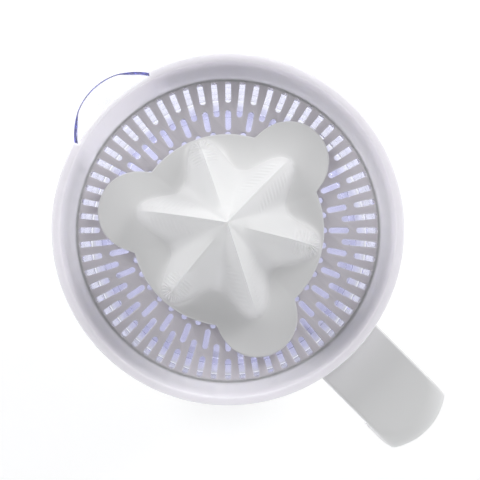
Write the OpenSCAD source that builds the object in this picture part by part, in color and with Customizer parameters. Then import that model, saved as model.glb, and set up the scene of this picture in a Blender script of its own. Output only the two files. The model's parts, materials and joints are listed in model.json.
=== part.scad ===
// Electric citrus juicer: motor base, clear jug, slotted strainer and reamer cone.
// Pressing the cone pushes the slow shaft down on a spring and closes the switch.
// Millimetres. +X is the handle side, -X the pouring lip, Z = 0 the table.

/* [Strainer] */
// Outside diameter of the strainer rim
rim_d = 165; // [160:0.5:172]
// Depth of the strainer bowl below the rim
bowl_depth = 15; // [13:0.5:16]
// How far the edge of the bowl's floor lies inside the rim
bowl_draft = 10; // [9.5:0.1:11.5]
// Thickness of the bowl wall, measured level
bowl_wall = 1.7; // [1.4:0.1:1.9]
// Thickness of the skirt that covers the jug's edge
skirt_t = 1.6; // [1.2:0.1:1.8]
// Height of the skirt below the rim
skirt_h = 13; // [11:0.5:15]
// Thickness of the slotted disc
disc_t = 1.8; // [1.4:0.1:2.4]
// Width of the ledge that carries the disc
ledge_w = 2; // [1.5:0.1:2.6]
// Thickness of that ledge
ledge_t = 2; // [1.5:0.1:3]
// Width of a drain slot
slot_w = 2.7; // [2:0.1:3]
// Depth of the notch in the rim above the pouring lip
lip_notch = 4.3; // [3:0.1:6]
// Number of long drain slots
long_slots = 32; // [24:1:34]
// Number of holes in the inner row
inner_holes = 40; // [24:1:44]
// Distance of the outer slots from the edge of the bowl's floor
slot_margin = 1.4; // [1.1:0.1:1.9]
// Length of a long slot
long_slot_l = 16.9; // [14:0.1:17.5]
// Length of a short outer slot
short_slot_l = 10.2; // [8:0.1:11]
// Length of a short inner slot
mid_slot_l = 9.6; // [8:0.1:10.5]
// Web between the short outer slots and the short inner ones
slot_row_gap = 3.5; // [2.9:0.1:4.4]
// How far the inner holes show beyond the cone's flange
hole_show = 1; // [0.2:0.1:1.2]
// Length of an inner hole
hole_l = 7; // [5:0.1:9]

/* [Cone] */
// Height of the cone above its flange
cone_h = 56; // [50:0.5:62]
// Radius of the ridges at the flange
star_tip_r = 44.2; // [42:0.1:44.6]
// Radius of the valleys at the flange
star_valley_r = 29.5; // [27:0.1:32]
// Wall of the hollow cone
cone_wall = 2.4; // [2:0.1:3]
// Radius of the flange between its lobes
flange_r = 45.4; // [45:0.1:46.5]
// Radius of a flange lobe
lobe_r = 18.9; // [17:0.1:20]
// Distance of a lobe's centre from the axis
lobe_off = 43.6; // [42:0.1:45]
// Thickness of the flange at its edge
flange_t = 1.8; // [1.4:0.1:2.4]
// Rise of the flange dish towards the star
dish_rise = 2.2; // [1:0.1:3]
// Angle of the first main ridge from the handle
ridge_turn = -26.5; // [-60:0.5:60]
// Outside radius of the cone's drive hub
hub_r = 9; // [8.4:0.1:10]

/* [Jug] */
// Height of the jug's edge above the deck
jug_h = 70; // [66:0.5:80]
// Outside diameter of the jug at its floor
jug_floor_d = 141; // [137:0.5:144]
// Wall of the jug
jug_wall = 1.8; // [1.5:0.1:1.9]
// Thickness of the jug's floor
jug_floor_t = 2.2; // [1.8:0.1:3]
// Radius of the edge between wall and floor
jug_edge_r = 6; // [4:0.5:8]
// Height of the ring under the jug
jug_foot_h = 2; // [1.8:0.1:2.6]
// Inside radius of the ring under the jug
jug_foot_r = 61; // [60:0.5:61.5]
// Width of the ring under the jug
jug_foot_w = 3; // [2:0.1:3.5]
// Reach of the pouring lip from the axis
spout_reach = 91; // [88:0.5:94]
// Radius of the pouring lip seen from above
spout_r = 28; // [26:0.5:30]
// Height of the pouring lip's slope
spout_h = 32; // [26:0.5:40]
// Outside radius of the chimney at the jug's floor
chimney_foot_r = 16.6; // [16.2:0.1:18]
// Outside radius of the chimney at its top
chimney_top_r = 10.6; // [10.4:0.1:11.2]
// Wall of the chimney
chimney_wall = 2; // [1.6:0.1:2.2]
// Height of the chimney above the strainer disc
chimney_rise = 9; // [7:0.5:10]
// Length of the axle's guide at the chimney top
guide_l = 8; // [6:0.5:10]

/* [Handle] */
// Reach of the handle from the axis
handle_reach = 134; // [128:0.5:140]
// Width of the handle
handle_w = 36; // [32:0.5:40]
// Depth of the handle's channel
handle_depth = 11; // [10:0.5:13]
// Wall of the handle
handle_t = 2.5; // [2:0.1:3]
// Radius of the handle's end seen from above
handle_end_r = 30.5; // [28:0.5:36]
// Radius of the bend where the handle turns down
handle_bend_r = 10; // [8:0.5:11]
// Height of the handle's lower end above the deck
handle_drop = 8; // [5:0.5:14]
// Thickness of the jug's tongue inside the handle
tongue_t = 5.5; // [4:0.5:6]
// Length of that tongue
tongue_l = 16; // [14:0.5:18]

/* [Motor base] */
// Height of the deck that carries the jug
base_h = 80; // [79:0.5:92]
// Outside diameter of the base at the table
base_bottom_d = 150; // [148:0.5:158]
// Outside diameter of the base at the deck
base_top_d = 142; // [140:0.5:146]
// Wall of the base
base_wall = 2.5; // [2:0.1:3]
// Thickness of the deck
deck_t = 3; // [2.5:0.1:3.5]
// Radius of the deck's edge
deck_edge_r = 5; // [3:0.5:6]
// Radius of the raised plateau on the deck
plateau_r = 58; // [56:0.5:59]
// Height of that plateau
plateau_h = 1.5; // [1:0.1:1.6]
// Width of a jug stop on the plateau
stop_w = 8; // [6:0.5:12]
// Height of the shaft boss above the deck
boss_h = 12; // [10:0.5:13]
// Outside radius of the shaft boss
boss_r = 9.5; // [9.1:0.1:10.2]
// Thickness of the bottom plate
plate_t = 3; // [2.5:0.1:4]
// Height of the feet
foot_h = 3; // [2:0.1:5]
// Radius of a foot
foot_r = 7; // [5:0.5:8]
// Distance of the feet from the axis
foot_at = 58; // [54:0.5:60]
// Distance of the casing screws from the axis
column_at = 60; // [58:0.5:61]
// Radius of a casing column
column_r = 4.5; // [4:0.1:5]
// Width of the cord inlet block
gland_w = 13; // [11:0.5:16]
// Radius of the cord inlet's bore
gland_bore_r = 3.5; // [2.5:0.1:4]

/* [Drive] */
// Travel of the cone when it is pressed
press_travel = 2.5; // [1.5:0.1:3]
// Radius of the slow shaft
shaft_r = 4; // [3.6:0.1:4.4]
// Radius of the loose axle in the jug
axle_r = 6.5; // [6.2:0.1:6.8]
// Length of the cone's drive on the axle
drive_l = 31; // [24:0.5:32]
// Module of the output gear pair
out_mod = 0.9; // [0.8:0.05:0.95]
// Teeth of the output gear
out_teeth = 54; // [48:1:56]
// Teeth of the idler's small gear
small_teeth = 12; // [12:1:13]
// Face width of the output gear
out_face = 7; // [5:0.5:8]
// Module of the motor gear pair
wheel_mod = 0.6; // [0.55:0.05:0.65]
// Teeth of the idler's large wheel
wheel_teeth = 60; // [54:1:62]
// Teeth of the motor pinion
pinion_teeth = 12; // [12:1:13]
// Face width of the idler's large wheel
wheel_face = 5; // [4:0.5:6]
// Pressure angle of the teeth
pressure_angle = 25; // [24:0.5:26]
// Play between meshing teeth
tooth_play = 0.2; // [0.1:0.02:0.3]
// Radius of the idler's pin
idler_pin_r = 2; // [1.5:0.1:2.2]
// Thickness of the gear plate
gear_plate_t = 3; // [2:0.1:3.5]
// Radius of the gear plate
gear_plate_r = 53; // [52:0.5:54.5]

/* [Motor and switch] */
// Distance of the motor behind the shaft
rotor_back = 36; // [35:0.5:37]
// Distance of the motor to the side of the shaft
rotor_side = 14; // [12:0.5:15]
// Width of the stator core
core_w = 40; // [38:0.5:41]
// Length of the stator core
core_l = 56; // [52:0.5:56.5]
// Width of a core arm
arm_w = 10; // [8:0.5:10.5]
// Height of the stack of laminations
stack_h = 22; // [16:0.5:23]
// Radius of the rotor magnet
magnet_r = 10.6; // [9:0.1:11]
// Radius of the motor shaft
rotor_shaft_r = 1.5; // [1.2:0.1:1.6]
// Thickness of the winding on each arm
winding_t = 3; // [2:0.1:3.2]
// Radius of the spring's wire
wire_r = 0.6; // [0.4:0.05:0.8]
// Radius of the spring at the middle of its wire
spring_r = 6; // [5.6:0.1:6.4]
// Number of turns of the spring
spring_turns = 7; // [5:0.5:9]
// Outside radius of the thrust cup
cup_r = 8.7; // [8:0.1:9]
// Length of the switch body
switch_l = 20; // [18:0.5:24]
// Width of the switch body
switch_w = 11; // [9:0.5:12]
// Height of the switch body
switch_h = 12; // [10:0.5:14]
// Radius of the switch plunger
plunger_r = 2; // [1.5:0.1:2.4]

/* [Hidden] */
$fn = 96;
// Gap between pieces that come apart
fit_gap = 0.3;
// Gap between a shaft and its bearing
run_gap = 0.05;
// Overlap that joins two shapes of one piece
lap = 0.5;
// Extra length of a cutting shape
over = 1;
// Screw sizes: shank, head, height of head
screw_r = 1.5;
screw_head_r = 3;
screw_head_h = 2;
pilot_r = screw_r + run_gap;
screw_hole_r = screw_r + fit_gap;
screw_sink_r = screw_head_r + fit_gap;
// Length of a screw in the column or post that it holds, and of its hole
screw_bite = 10;
pilot_spare = 2;
pilot_l = screw_bite + pilot_spare;
// Play of a six-sided drive
hex_gap = 0.15;

// Heights from the table up
plate_z = foot_h;
plate_top = plate_z + plate_t;
skirt_foot_z = foot_h / 2;
deck_z = base_h;
deck_under = deck_z - deck_t;
boss_top = deck_z + boss_h;
jug_floor_z = deck_z + jug_foot_h;
jug_rim_z = deck_z + jug_h;
seat_z = jug_rim_z + fit_gap;
// Rise of the rim above the seat of the strainer
rim_rise = 7.7;
rim_z = seat_z + rim_rise;
disc_z = rim_z - bowl_depth;
skirt_z = rim_z - skirt_h;
// Room left under the flange when the cone is pressed
flange_room = 0.7;
flange_z = disc_z + press_travel + flange_room;
star_z = flange_z + flange_t;
chimney_z = disc_z + chimney_rise;
hub_z = chimney_z + press_travel + lap;
axle_top = hub_z + drive_l;

// Heights in the base, from the deck down
bush_flange_t = 1.7;
hub_step = 2;
wheel_lift = 1.5;
coil_room = 1.5;
stack_gap = winding_t + coil_room;
bracket_t = 2;
gear_h = bush_flange_t + fit_gap + 2 * hub_step + out_face + press_travel + lap + wheel_face + wheel_lift;
motor_h = gear_plate_t + 2 * stack_gap + stack_h + bracket_t + screw_head_h;
// The height that gears and motor leave free goes to the boss above them and to the room below
spare_h = deck_under - plate_top - gear_h - motor_h;
boss_share = 2 / 3;
boss_drop = spare_h * boss_share;
boss_bottom = deck_under - boss_drop;
upper_bush_z = boss_bottom - bush_flange_t;
out_hub_top = upper_bush_z - fit_gap;
out_gear_top = out_hub_top - hub_step;
out_gear_z = out_gear_top - out_face;
wheel_top = out_gear_z - press_travel - hub_step - lap;
wheel_z = wheel_top - wheel_face;
gear_plate_top = wheel_z - wheel_lift;
gear_plate_z = gear_plate_top - gear_plate_t;
idler_top = out_gear_top + over;
stack_top = gear_plate_z - stack_gap;
stack_z = stack_top - stack_h;
bracket_top = stack_z - stack_gap;
bracket_z = bracket_top - bracket_t;
lower_bush_drop = 3.5;
lower_bush_z = gear_plate_z - lower_bush_drop;
cup_rim_h = 4;
shaft_z = lower_bush_z - over - cup_rim_h;
cup_floor_t = 6;
cup_z = shaft_z - cup_floor_t;
tab_z = cup_z + over;
tab_t = 3;
plunger_top = tab_z - fit_gap;
plunger_rest = 2.2;
plunger_show = press_travel + plunger_rest;
switch_top = plunger_top - plunger_show;
switch_z = switch_top - switch_h;
seal_h = 3.5;
seal_top = boss_top + seal_h;
axle_z = seal_top + press_travel + lap;
shaft_hex_l = 18;
shaft_top = seal_top + shaft_hex_l;

// Radii
rim_r = rim_d / 2;
skirt_in_r = rim_r - skirt_t;
jug_r = skirt_in_r - fit_gap;
jug_floor_r = jug_floor_d / 2;
rim_land = 1.1;
bowl_lip = 0.2;
bowl_top_r = skirt_in_r - bowl_lip;
bowl_floor_d = rim_d - 2 * bowl_draft;
bowl_floor_r = bowl_floor_d / 2;
bowl_slope = (bowl_top_r - bowl_floor_r) / (bowl_depth - rim_land);
jug_slope = (jug_r - jug_floor_r) / (jug_rim_z - jug_floor_z);
disc_r = bowl_floor_r - fit_gap;
slot_out_r = bowl_floor_r - slot_margin;
mid_slot_out_r = slot_out_r - short_slot_l - slot_row_gap;
hole_out_r = flange_r + hole_show;
chimney_slope = (chimney_foot_r - chimney_top_r) / (chimney_z - jug_floor_z);
disc_hole_r = chimney_top_r + chimney_slope * (chimney_z - disc_z + disc_t) + fit_gap;
axle_hex_r = axle_r - fit_gap;
guide_r = axle_r + fit_gap;
guide_z = chimney_z - guide_l;
collar_t = 3;
collar_step = 1.5;
collar_r = axle_r + collar_step;
bush_t = 2.5;
bush_r = shaft_r + bush_t;
bush_bore_r = shaft_r + run_gap;
bush_hub_t = 2.5;
bush_hub_r = bush_r + bush_hub_t;
rotor_bush_t = 2;
rotor_bush_r = rotor_shaft_r + rotor_bush_t;
seal_gap = 0.15;
seal_lip_t = 1.2;
seal_lip_r = shaft_r + seal_lip_t;
base_bottom_r = base_bottom_d / 2;
base_top_r = base_top_d / 2;
plate_gap = 1.3;
plate_r = base_bottom_r - base_wall - plate_gap;
tube_r = cup_r + fit_gap;
tube_t = 2;
stop_r = jug_foot_r + jug_foot_w - fit_gap;

// The whole part stands with the middle of its length over the origin
axis_x = (spout_reach - handle_reach) / 2;

// Gear positions: the idler meets both the output gear and the pinion
out_dist = out_mod * (out_teeth + small_teeth) / 2;
wheel_dist = wheel_mod * (wheel_teeth + pinion_teeth) / 2;
rotor_at = [-rotor_back, rotor_side];
rotor_far = norm(rotor_at);
rotor_dir = atan2(rotor_at[1], rotor_at[0]);
idler_bend = acos((out_dist ^ 2 + rotor_far ^ 2 - wheel_dist ^ 2) / (2 * out_dist * rotor_far));
idler_dir = rotor_dir - idler_bend;
idler_at = out_dist * [cos(idler_dir), sin(idler_dir)];
wheel_dir = atan2(rotor_at[1] - idler_at[1], rotor_at[0] - idler_at[0]);
pin_shoulder_t = 2;
pin_boss_t = 2.5;
pin_boss_r = idler_pin_r + pin_boss_t;
pin_bite = 3;

// Stator places
core_pole_l = 24;
core_front = rotor_side + core_pole_l / 2;
core_back = core_front - core_l;
arm_at = core_w / 2 - arm_w / 2;
motor_screw_edge = 4;
motor_screw_at = core_w / 2 - motor_screw_edge;
core_slit = 2;
core_hole_gap = 0.1;
core_hole_r = screw_r + core_hole_gap;
spacer_r = 4;
ear_r = 6;
bracket_w = 12;
bracket_post_r = 3.5;
motor_screws_at = [for (s = [-1, 1]) rotor_at + [s * motor_screw_at, 0]];
air_gap = 0.7;
rotor_hole_r = magnet_r + air_gap;
bobbin_t = 1;
bobbin_gap = 0.2;
winding_inset = 0.4;
coil_back = core_back + arm_w + over;
coil_front = rotor_side - core_pole_l / 2 - lap;

// Fixings
column_angles = [60, 120, 240, 300];
column_rib_t = 2;
column_rib_lift = 6;
column_rib_z = plate_top + column_rib_lift;
column_rib_top = deck_z - deck_edge_r - over;
stop_angles = [0, 120, 240];
vent_at = 34;
vent_l = 26;
vent_w = 3;
vent_pitch = 7;
foot_angles = [45, 135, 225, 315];
post_angles = [0, 100, 240];
post_at = 48;
post_r = 4;
switch_gap = 1.5;
switch_x = tube_r + tube_t + switch_gap + switch_w / 2;
switch_post_r = 3;
switch_peg_r = 1.4;
peg_gap = 0.1;
switch_post_y = switch_l / 2 - switch_post_r;
tab_w = 5;
plunger_in = 3;
cup_peg_l = 6;
blade_at = 3;
blade_pitch = 3.2;
blade_w = 2;
blade_t = 0.8;
blade_l = 5;
handle_top = skirt_z - lap;
handle_under = handle_top - handle_t;
handle_boss_h = 3.5;
handle_boss_r = 4.5;
tongue_top = handle_under - handle_boss_h;
tongue_z = tongue_top - tongue_t;
tongue_half = handle_w / 2 - handle_t - fit_gap;
tongue_end = jug_r + tongue_l;
tongue_root = 12;
handle_screw_at = [jug_r + tongue_l / 2, handle_w / 4];
handle_x = handle_reach - handle_end_r;
handle_z = deck_z + handle_drop;
handle_root = 8;
handle_gap = 0.6;
gland_flange = 2;
gland_l = 9;
gland_lip_t = 2.5;
gland_fit = 0.2;
gland_z = plate_top + fit_gap + gland_w / 2 + gland_flange;
gland_out_r = base_bottom_r + fit_gap;

// A solid of revolution's half section: tapered side with a rounded lower edge
module cup_section(low_r, top_r, low_z, top_z, edge_r) {
    lean = atan((top_r - low_r) / (top_z - low_z));
    edge_x = low_r + edge_r * tan(lean) - edge_r / cos(lean);
    union() {
        polygon([
            [0, low_z],
            [edge_x, low_z],
            [edge_x + edge_r * cos(lean), low_z + edge_r - edge_r * sin(lean)],
            [top_r, top_z],
            [0, top_z]
        ]);
        translate([edge_x, low_z + edge_r]) circle(edge_r);
    }
}

// The same with the rounded edge on top
module cap_section(low_r, top_r, low_z, top_z, edge_r) {
    translate([0, low_z + top_z]) mirror([0, 1]) cup_section(top_r, low_r, low_z, top_z, edge_r);
}

// A tube between two heights
module tube(outer_r, inner_r, low_z, top_z) {
    translate([0, 0, low_z]) difference() {
        cylinder(r = outer_r, h = top_z - low_z);
        translate([0, 0, -over]) cylinder(r = inner_r, h = top_z - low_z + 2 * over);
    }
}

// A rod between two heights
module rod(r, low_z, top_z) {
    translate([0, 0, low_z]) cylinder(r = r, h = top_z - low_z);
}

// A block between two heights, centred on X and Y
module block(size, low_z, top_z) {
    translate([-size[0] / 2, -size[1] / 2, low_z]) cube([size[0], size[1], top_z - low_z]);
}

// Copies at given angles round the axis
module around(angles, distance) {
    for (a = angles) rotate(a) translate([distance, 0, 0]) children();
}

// A screw with its head down
module screw(head_z, tip_z) {
    rod(screw_head_r, head_z, head_z + screw_head_h);
    rod(screw_r, head_z + screw_head_h - lap, tip_z);
}

// Involute tooth outline
function involute_angle(r, base_r) = let (t = sqrt(max(0, (r / base_r) ^ 2 - 1))) t * 180 / PI - atan(t);
function tooth_half(r, pitch_r, teeth) =
    let (base_r = pitch_r * cos(pressure_angle))
    90 / teeth - tooth_play / 4 / pitch_r * 180 / PI
        + involute_angle(pitch_r, base_r) - involute_angle(max(r, base_r), base_r);
flank_steps = 4;
root_share = 1.2;
tip_share = 0.95;
flank_share = 0.1;
function gear_outline(mod, teeth) =
    let (pitch_r = mod * teeth / 2)
    let (root_r = pitch_r - root_share * mod)
    let (tip_r = pitch_r + tip_share * mod)
    let (start_r = max(root_r + flank_share * mod, pitch_r * cos(pressure_angle)))
    let (flank = [for (k = [0 : flank_steps]) start_r + (tip_r - start_r) * k / flank_steps])
    let (radii = concat([root_r], flank))
    [for (i = [0 : teeth - 1], side = [-1, 1], k = [0 : len(radii) - 1])
        let (r = radii[side < 0 ? k : len(radii) - 1 - k])
        let (a = 360 * i / teeth + side * tooth_half(r, pitch_r, teeth))
        r * [cos(a), sin(a)]];
module gear_blank(mod, teeth, low_z, top_z, turn) {
    translate([0, 0, low_z]) rotate(turn) linear_extrude(top_z - low_z) polygon(gear_outline(mod, teeth));
}

// Casing of the base, with columns for the bottom plate and posts for the gear plate
module upper_housing() color("white") difference() {
    union() {
        difference() {
            rotate_extrude() cap_section(base_bottom_r, base_top_r, skirt_foot_z, deck_z, deck_edge_r);
            rotate_extrude() cap_section(base_bottom_r - base_wall, base_top_r - base_wall,
                skirt_foot_z - over, deck_under, deck_edge_r - base_wall);
        }
        rod(plateau_r, deck_z - lap, deck_z + plateau_h);
        around(stop_angles, 0) jug_stop();
        rod(boss_r, boss_bottom, boss_top);
        around(column_angles, column_at) casing_column();
        around(post_angles, post_at) rod(post_r, gear_plate_top, deck_under + lap);
        translate(idler_at) rod(pin_boss_r, idler_top + fit_gap, deck_under + lap);
    }
    rod(bush_r, boss_bottom - over, boss_top + over);
    around(column_angles, column_at) rod(pilot_r, plate_top - over, plate_top + pilot_l);
    around(post_angles, post_at) rod(pilot_r, gear_plate_top - over, gear_plate_top + pilot_l);
    translate(idler_at) rod(idler_pin_r + run_gap, idler_top - over, idler_top + pin_bite + over);
    translate([0, base_bottom_r, 0])
        block([gland_w, 2 * gland_l], gland_z - gland_w / 2, gland_z + gland_w / 2);
}

// Column with the rib that ties it to the wall
module casing_column() {
    rod(column_r, plate_top, deck_under + lap);
    translate([0, column_rib_t / 2, 0]) rotate([90, 0, 0]) linear_extrude(column_rib_t) polygon([
        [0, column_rib_z],
        [wall_mid_r(column_rib_z) - column_at, column_rib_z],
        [wall_mid_r(column_rib_top) - column_at, column_rib_top],
        [0, column_rib_top]
    ]);
}
// Radius at the middle of the casing's wall
function wall_mid_r(z) = base_bottom_r - base_wall / 2
    + (base_top_r - base_bottom_r) * (z - skirt_foot_z) / (deck_z - skirt_foot_z);

// Lug that keeps the jug from turning
module jug_stop() {
    translate([plateau_r - over, -stop_w / 2, deck_z - lap])
        cube([stop_r - plateau_r + over, stop_w, plateau_h + lap]);
}

// Plate under the base, with the spring tube and the switch posts
module bottom_plate() color("gainsboro") difference() {
    union() {
        rod(plate_r, plate_z, plate_top);
        tube(tube_r + tube_t, tube_r, plate_top - lap, shaft_z);
        for (s = [-1, 1]) translate([switch_x, s * switch_post_y, 0]) {
            rod(switch_post_r, plate_top - lap, switch_z);
            rod(switch_peg_r, switch_z - lap, switch_z + switch_h / 2);
        }
    }
    translate([tube_r + tube_t / 2, 0, 0])
        block([3 * tube_t, tab_w + 2 * lap], tab_z - press_travel - over, shaft_z + over);
    around(column_angles, column_at) {
        rod(screw_hole_r, plate_z - over, plate_top + over);
        rod(screw_sink_r, plate_z - over, plate_z + screw_head_h);
    }
    around(foot_angles, foot_at) rod(foot_r / 2, plate_z - over, plate_top + over);
    for (i = [-2 : 2]) translate([vent_at, i * vent_pitch, 0])
        block([vent_l, vent_w], plate_z - over, plate_top + over);
}

// Four rubber feet plugged into the bottom plate
module rubber_feet() color("dimgray") around(foot_angles, foot_at) {
    rod(foot_r, 0, plate_z);
    rod(foot_r / 2 - run_gap, plate_z - lap, plate_top);
}

// Screws of the bottom plate
module housing_screws() color("silver") around(column_angles, column_at)
    screw(plate_z, plate_top + screw_bite);

// Rubber block in the wall where the mains lead enters
module cord_gland() color("dimgray") translate([0, 0, gland_z]) rotate([-90, 0, 0]) difference() {
    neck = (gland_w - 2 * gland_fit) * [1, 1];
    flange = (gland_w + 2 * gland_flange) * [1, 1];
    inner_end = gland_out_r - gland_l;
    union() {
        block(neck, inner_end, gland_out_r + gland_flange);
        block(flange, gland_out_r, gland_out_r + gland_flange);
        block(flange, inner_end, inner_end + gland_lip_t);
    }
    rod(gland_bore_r, inner_end - over, gland_out_r + gland_flange + over);
}

// Chassis plate that carries the gears and the motor
module gear_plate() color("lightgray") difference() {
    union() {
        rod(gear_plate_r, gear_plate_z, gear_plate_top);
        rod(bush_hub_r, lower_bush_z, gear_plate_top);
        for (p = motor_screws_at) translate(p) {
            rod(ear_r, gear_plate_z, gear_plate_top);
            rod(spacer_r, stack_top, gear_plate_z + lap);
        }
        translate([-rotor_back, core_back + arm_w / 2]) rod(spacer_r, stack_top, gear_plate_z + lap);
    }
    rod(bush_r, lower_bush_z - over, gear_plate_top + over);
    translate(rotor_at) rod(rotor_bush_r, gear_plate_z - over, gear_plate_top + over);
    translate(idler_at) rod(idler_pin_r, gear_plate_z - over, gear_plate_top + over);
    for (p = motor_screws_at) translate(p) rod(pilot_r, stack_top - over, gear_plate_top + over);
    around(post_angles, post_at) rod(screw_hole_r, gear_plate_z - over, gear_plate_top + over);
}

// Screws that hold the gear plate to the posts
module plate_screws() color("silver") around(post_angles, post_at)
    screw(gear_plate_z - screw_head_h, gear_plate_top + screw_bite);

// U-shaped stack of laminations with the rotor's hole between its poles
module stator_core() color("slategray")
    translate([-rotor_back, 0, stack_z]) linear_extrude(stack_h) core_outline();
module core_outline() difference() {
    translate([-core_w / 2, core_back]) square([core_w, core_l]);
    translate([-core_w / 2 + arm_w, core_back + arm_w])
        square([core_w - 2 * arm_w, core_l - core_pole_l - arm_w]);
    translate([0, rotor_side]) circle(rotor_hole_r);
    translate([-core_slit / 2, rotor_side]) square([core_slit, core_pole_l]);
    translate([-core_slit / 2, core_back + arm_w + over]) square([core_slit, core_l - core_pole_l]);
    for (s = [-1, 1]) translate([s * motor_screw_at, rotor_side]) circle(core_hole_r);
}

// A rectangular sleeve along a core arm
module arm_sleeve(inner, outer, back, front) {
    mid_z = stack_z + stack_h / 2;
    for (s = [-1, 1]) translate([-rotor_back + s * arm_at, back, mid_z]) rotate([-90, 0, 0])
        linear_extrude(front - back) difference() {
            square([arm_w + 2 * outer, stack_h + 2 * outer], center = true);
            square([arm_w + 2 * inner, stack_h + 2 * inner], center = true);
        }
}

// Two bobbins on the core's arms
module coil_bobbins() color("ivory") {
    sleeve = bobbin_gap + bobbin_t;
    arm_sleeve(bobbin_gap, sleeve, coil_back, coil_front);
    arm_sleeve(bobbin_gap, sleeve + winding_t, coil_back, coil_back + over);
    arm_sleeve(bobbin_gap, sleeve + winding_t, coil_front - over, coil_front);
}

// Copper winding between the flanges of each bobbin
module coil_windings() color("peru") {
    sleeve = bobbin_gap + bobbin_t;
    arm_sleeve(sleeve, sleeve + winding_t - winding_inset, coil_back + over, coil_front - over);
}

// Strap under the stack that holds the rotor's lower bush
module rotor_bracket() color("silver") translate(rotor_at) difference() {
    union() {
        block([core_w, bracket_w], bracket_z, bracket_top);
        for (s = [-1, 1]) translate([s * motor_screw_at, 0]) rod(bracket_post_r, bracket_z, stack_z);
    }
    rod(rotor_bush_r, bracket_z - over, bracket_top + over);
    for (s = [-1, 1]) translate([s * motor_screw_at, 0]) rod(core_hole_r, bracket_z - over, stack_z + over);
}

// Bronze bushes of the motor shaft
module rotor_bushes() color("darkgoldenrod") translate(rotor_at) {
    tube(rotor_bush_r, rotor_shaft_r + run_gap, bracket_z, bracket_top + over);
    tube(rotor_bush_r, rotor_shaft_r + run_gap, gear_plate_z - over, gear_plate_top);
}

// Two long screws through bracket, stack and gear plate
module motor_screws() color("silver") for (p = motor_screws_at) translate(p)
    screw(bracket_z - screw_head_h, gear_plate_top);

// Magnet of the rotor
module rotor_magnet() color("dimgray") translate(rotor_at)
    tube(magnet_r, rotor_shaft_r, stack_z + over, stack_top - over);

// Steel shaft of the rotor
module rotor_shaft() color("silver") translate(rotor_at)
    rod(rotor_shaft_r, bracket_z - lap, wheel_top + over);

// Pinion on the motor shaft
module rotor_pinion() color("khaki") translate(rotor_at) difference() {
    gear_blank(wheel_mod, pinion_teeth, gear_plate_top + lap, wheel_top + over,
        wheel_dir + 180 + 180 / pinion_teeth);
    rod(rotor_shaft_r, gear_plate_top, wheel_top + 2 * over);
}

// Compound idler: large wheel below, small gear above
module idler_gear() color("ivory") translate(idler_at) difference() {
    union() {
        gear_blank(wheel_mod, wheel_teeth, wheel_z, wheel_top, wheel_dir);
        gear_blank(out_mod, small_teeth, wheel_top - lap, idler_top, idler_dir + 180 + 180 / small_teeth);
        rod(idler_pin_r + pin_shoulder_t, gear_plate_top + fit_gap, wheel_z + lap);
    }
    rod(idler_pin_r + run_gap, gear_plate_top, idler_top + over);
}

// Pin of the idler, held in the gear plate and under the deck
module idler_pin() color("silver") translate(idler_at) rod(idler_pin_r, gear_plate_z, idler_top + pin_bite);

// Output gear with a lightened web
web_hole_r = 3.2;
module output_gear() color("ivory") difference() {
    union() {
        gear_blank(out_mod, out_teeth, out_gear_z, out_gear_top, idler_dir);
        rod(bush_hub_r, out_gear_z - hub_step, out_hub_top);
    }
    rod(shaft_r, out_gear_z - hub_step - over, out_hub_top + over);
    around([for (i = [0 : 5]) 60 * i], (out_mod * out_teeth / 2 + bush_hub_r) / 2)
        rod(web_hole_r, out_gear_z - over, out_gear_top + over);
}

// Slow shaft with a six-sided top
module output_shaft() color("silver") {
    rod(shaft_r, shaft_z, seal_top);
    translate([0, 0, seal_top - lap]) cylinder(r = shaft_r, h = shaft_top - seal_top + lap, $fn = 6);
}

// Bush in the gear plate
module lower_bush() color("darkgoldenrod") tube(bush_r, bush_bore_r, lower_bush_z, gear_plate_top + over);

// Flanged bush under the deck
module upper_bush() color("darkgoldenrod") difference() {
    union() {
        rod(bush_r, upper_bush_z, boss_top);
        rod(boss_r - lap, upper_bush_z, boss_bottom);
    }
    rod(bush_bore_r, upper_bush_z - over, boss_top + over);
}

// Rubber lip that keeps juice off the bush
module shaft_seal() color("dimgray") rotate_extrude() polygon([
    [shaft_r + seal_gap, boss_top],
    [boss_r, boss_top],
    [boss_r, boss_top + seal_h / 3],
    [seal_lip_r, seal_top],
    [shaft_r + seal_gap, seal_top]
]);

// Cup under the shaft, with the tab that works the switch
module thrust_cup() color("khaki") difference() {
    union() {
        rod(cup_r, cup_z, shaft_z + cup_rim_h);
        rod(spring_r - wire_r - 2 * fit_gap, cup_z - cup_peg_l, cup_z + lap);
        translate([cup_r - over, -tab_w / 2, tab_z])
            cube([switch_x + plunger_r - cup_r + over, tab_w, tab_t]);
    }
    rod(shaft_r + fit_gap, shaft_z, shaft_z + cup_rim_h + over);
}

// Points and faces of a tube swept along a helix
spring_sides = 6;
spring_rings = 8;
function spring_point(k, s) =
    let (steps = spring_turns * spring_rings)
    let (a = 360 * k / spring_rings)
    let (r = spring_r + wire_r * cos(360 * s / spring_sides))
    let (rise = (cup_z - plate_top - 2 * wire_r) * k / steps)
    [r * cos(a), r * sin(a), plate_top + wire_r + rise + wire_r * sin(360 * s / spring_sides)];
module return_spring() color("silver") {
    rings = floor(spring_turns * spring_rings);
    n = spring_sides;
    polyhedron(
        points = [for (k = [0 : rings], s = [0 : n - 1]) spring_point(k, s)],
        faces = concat(
            [for (s = [1 : n - 2]) [0, s + 1, s]],
            [for (k = [0 : rings - 1], s = [0 : n - 1], half = [0, 1])
                let (a = k * n + s, b = k * n + (s + 1) % n)
                half == 0 ? [a, b, a + n] : [b, b + n, a + n]],
            [for (s = [1 : n - 2]) [rings * n, rings * n + s, rings * n + s + 1]]
        )
    );
}

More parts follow.
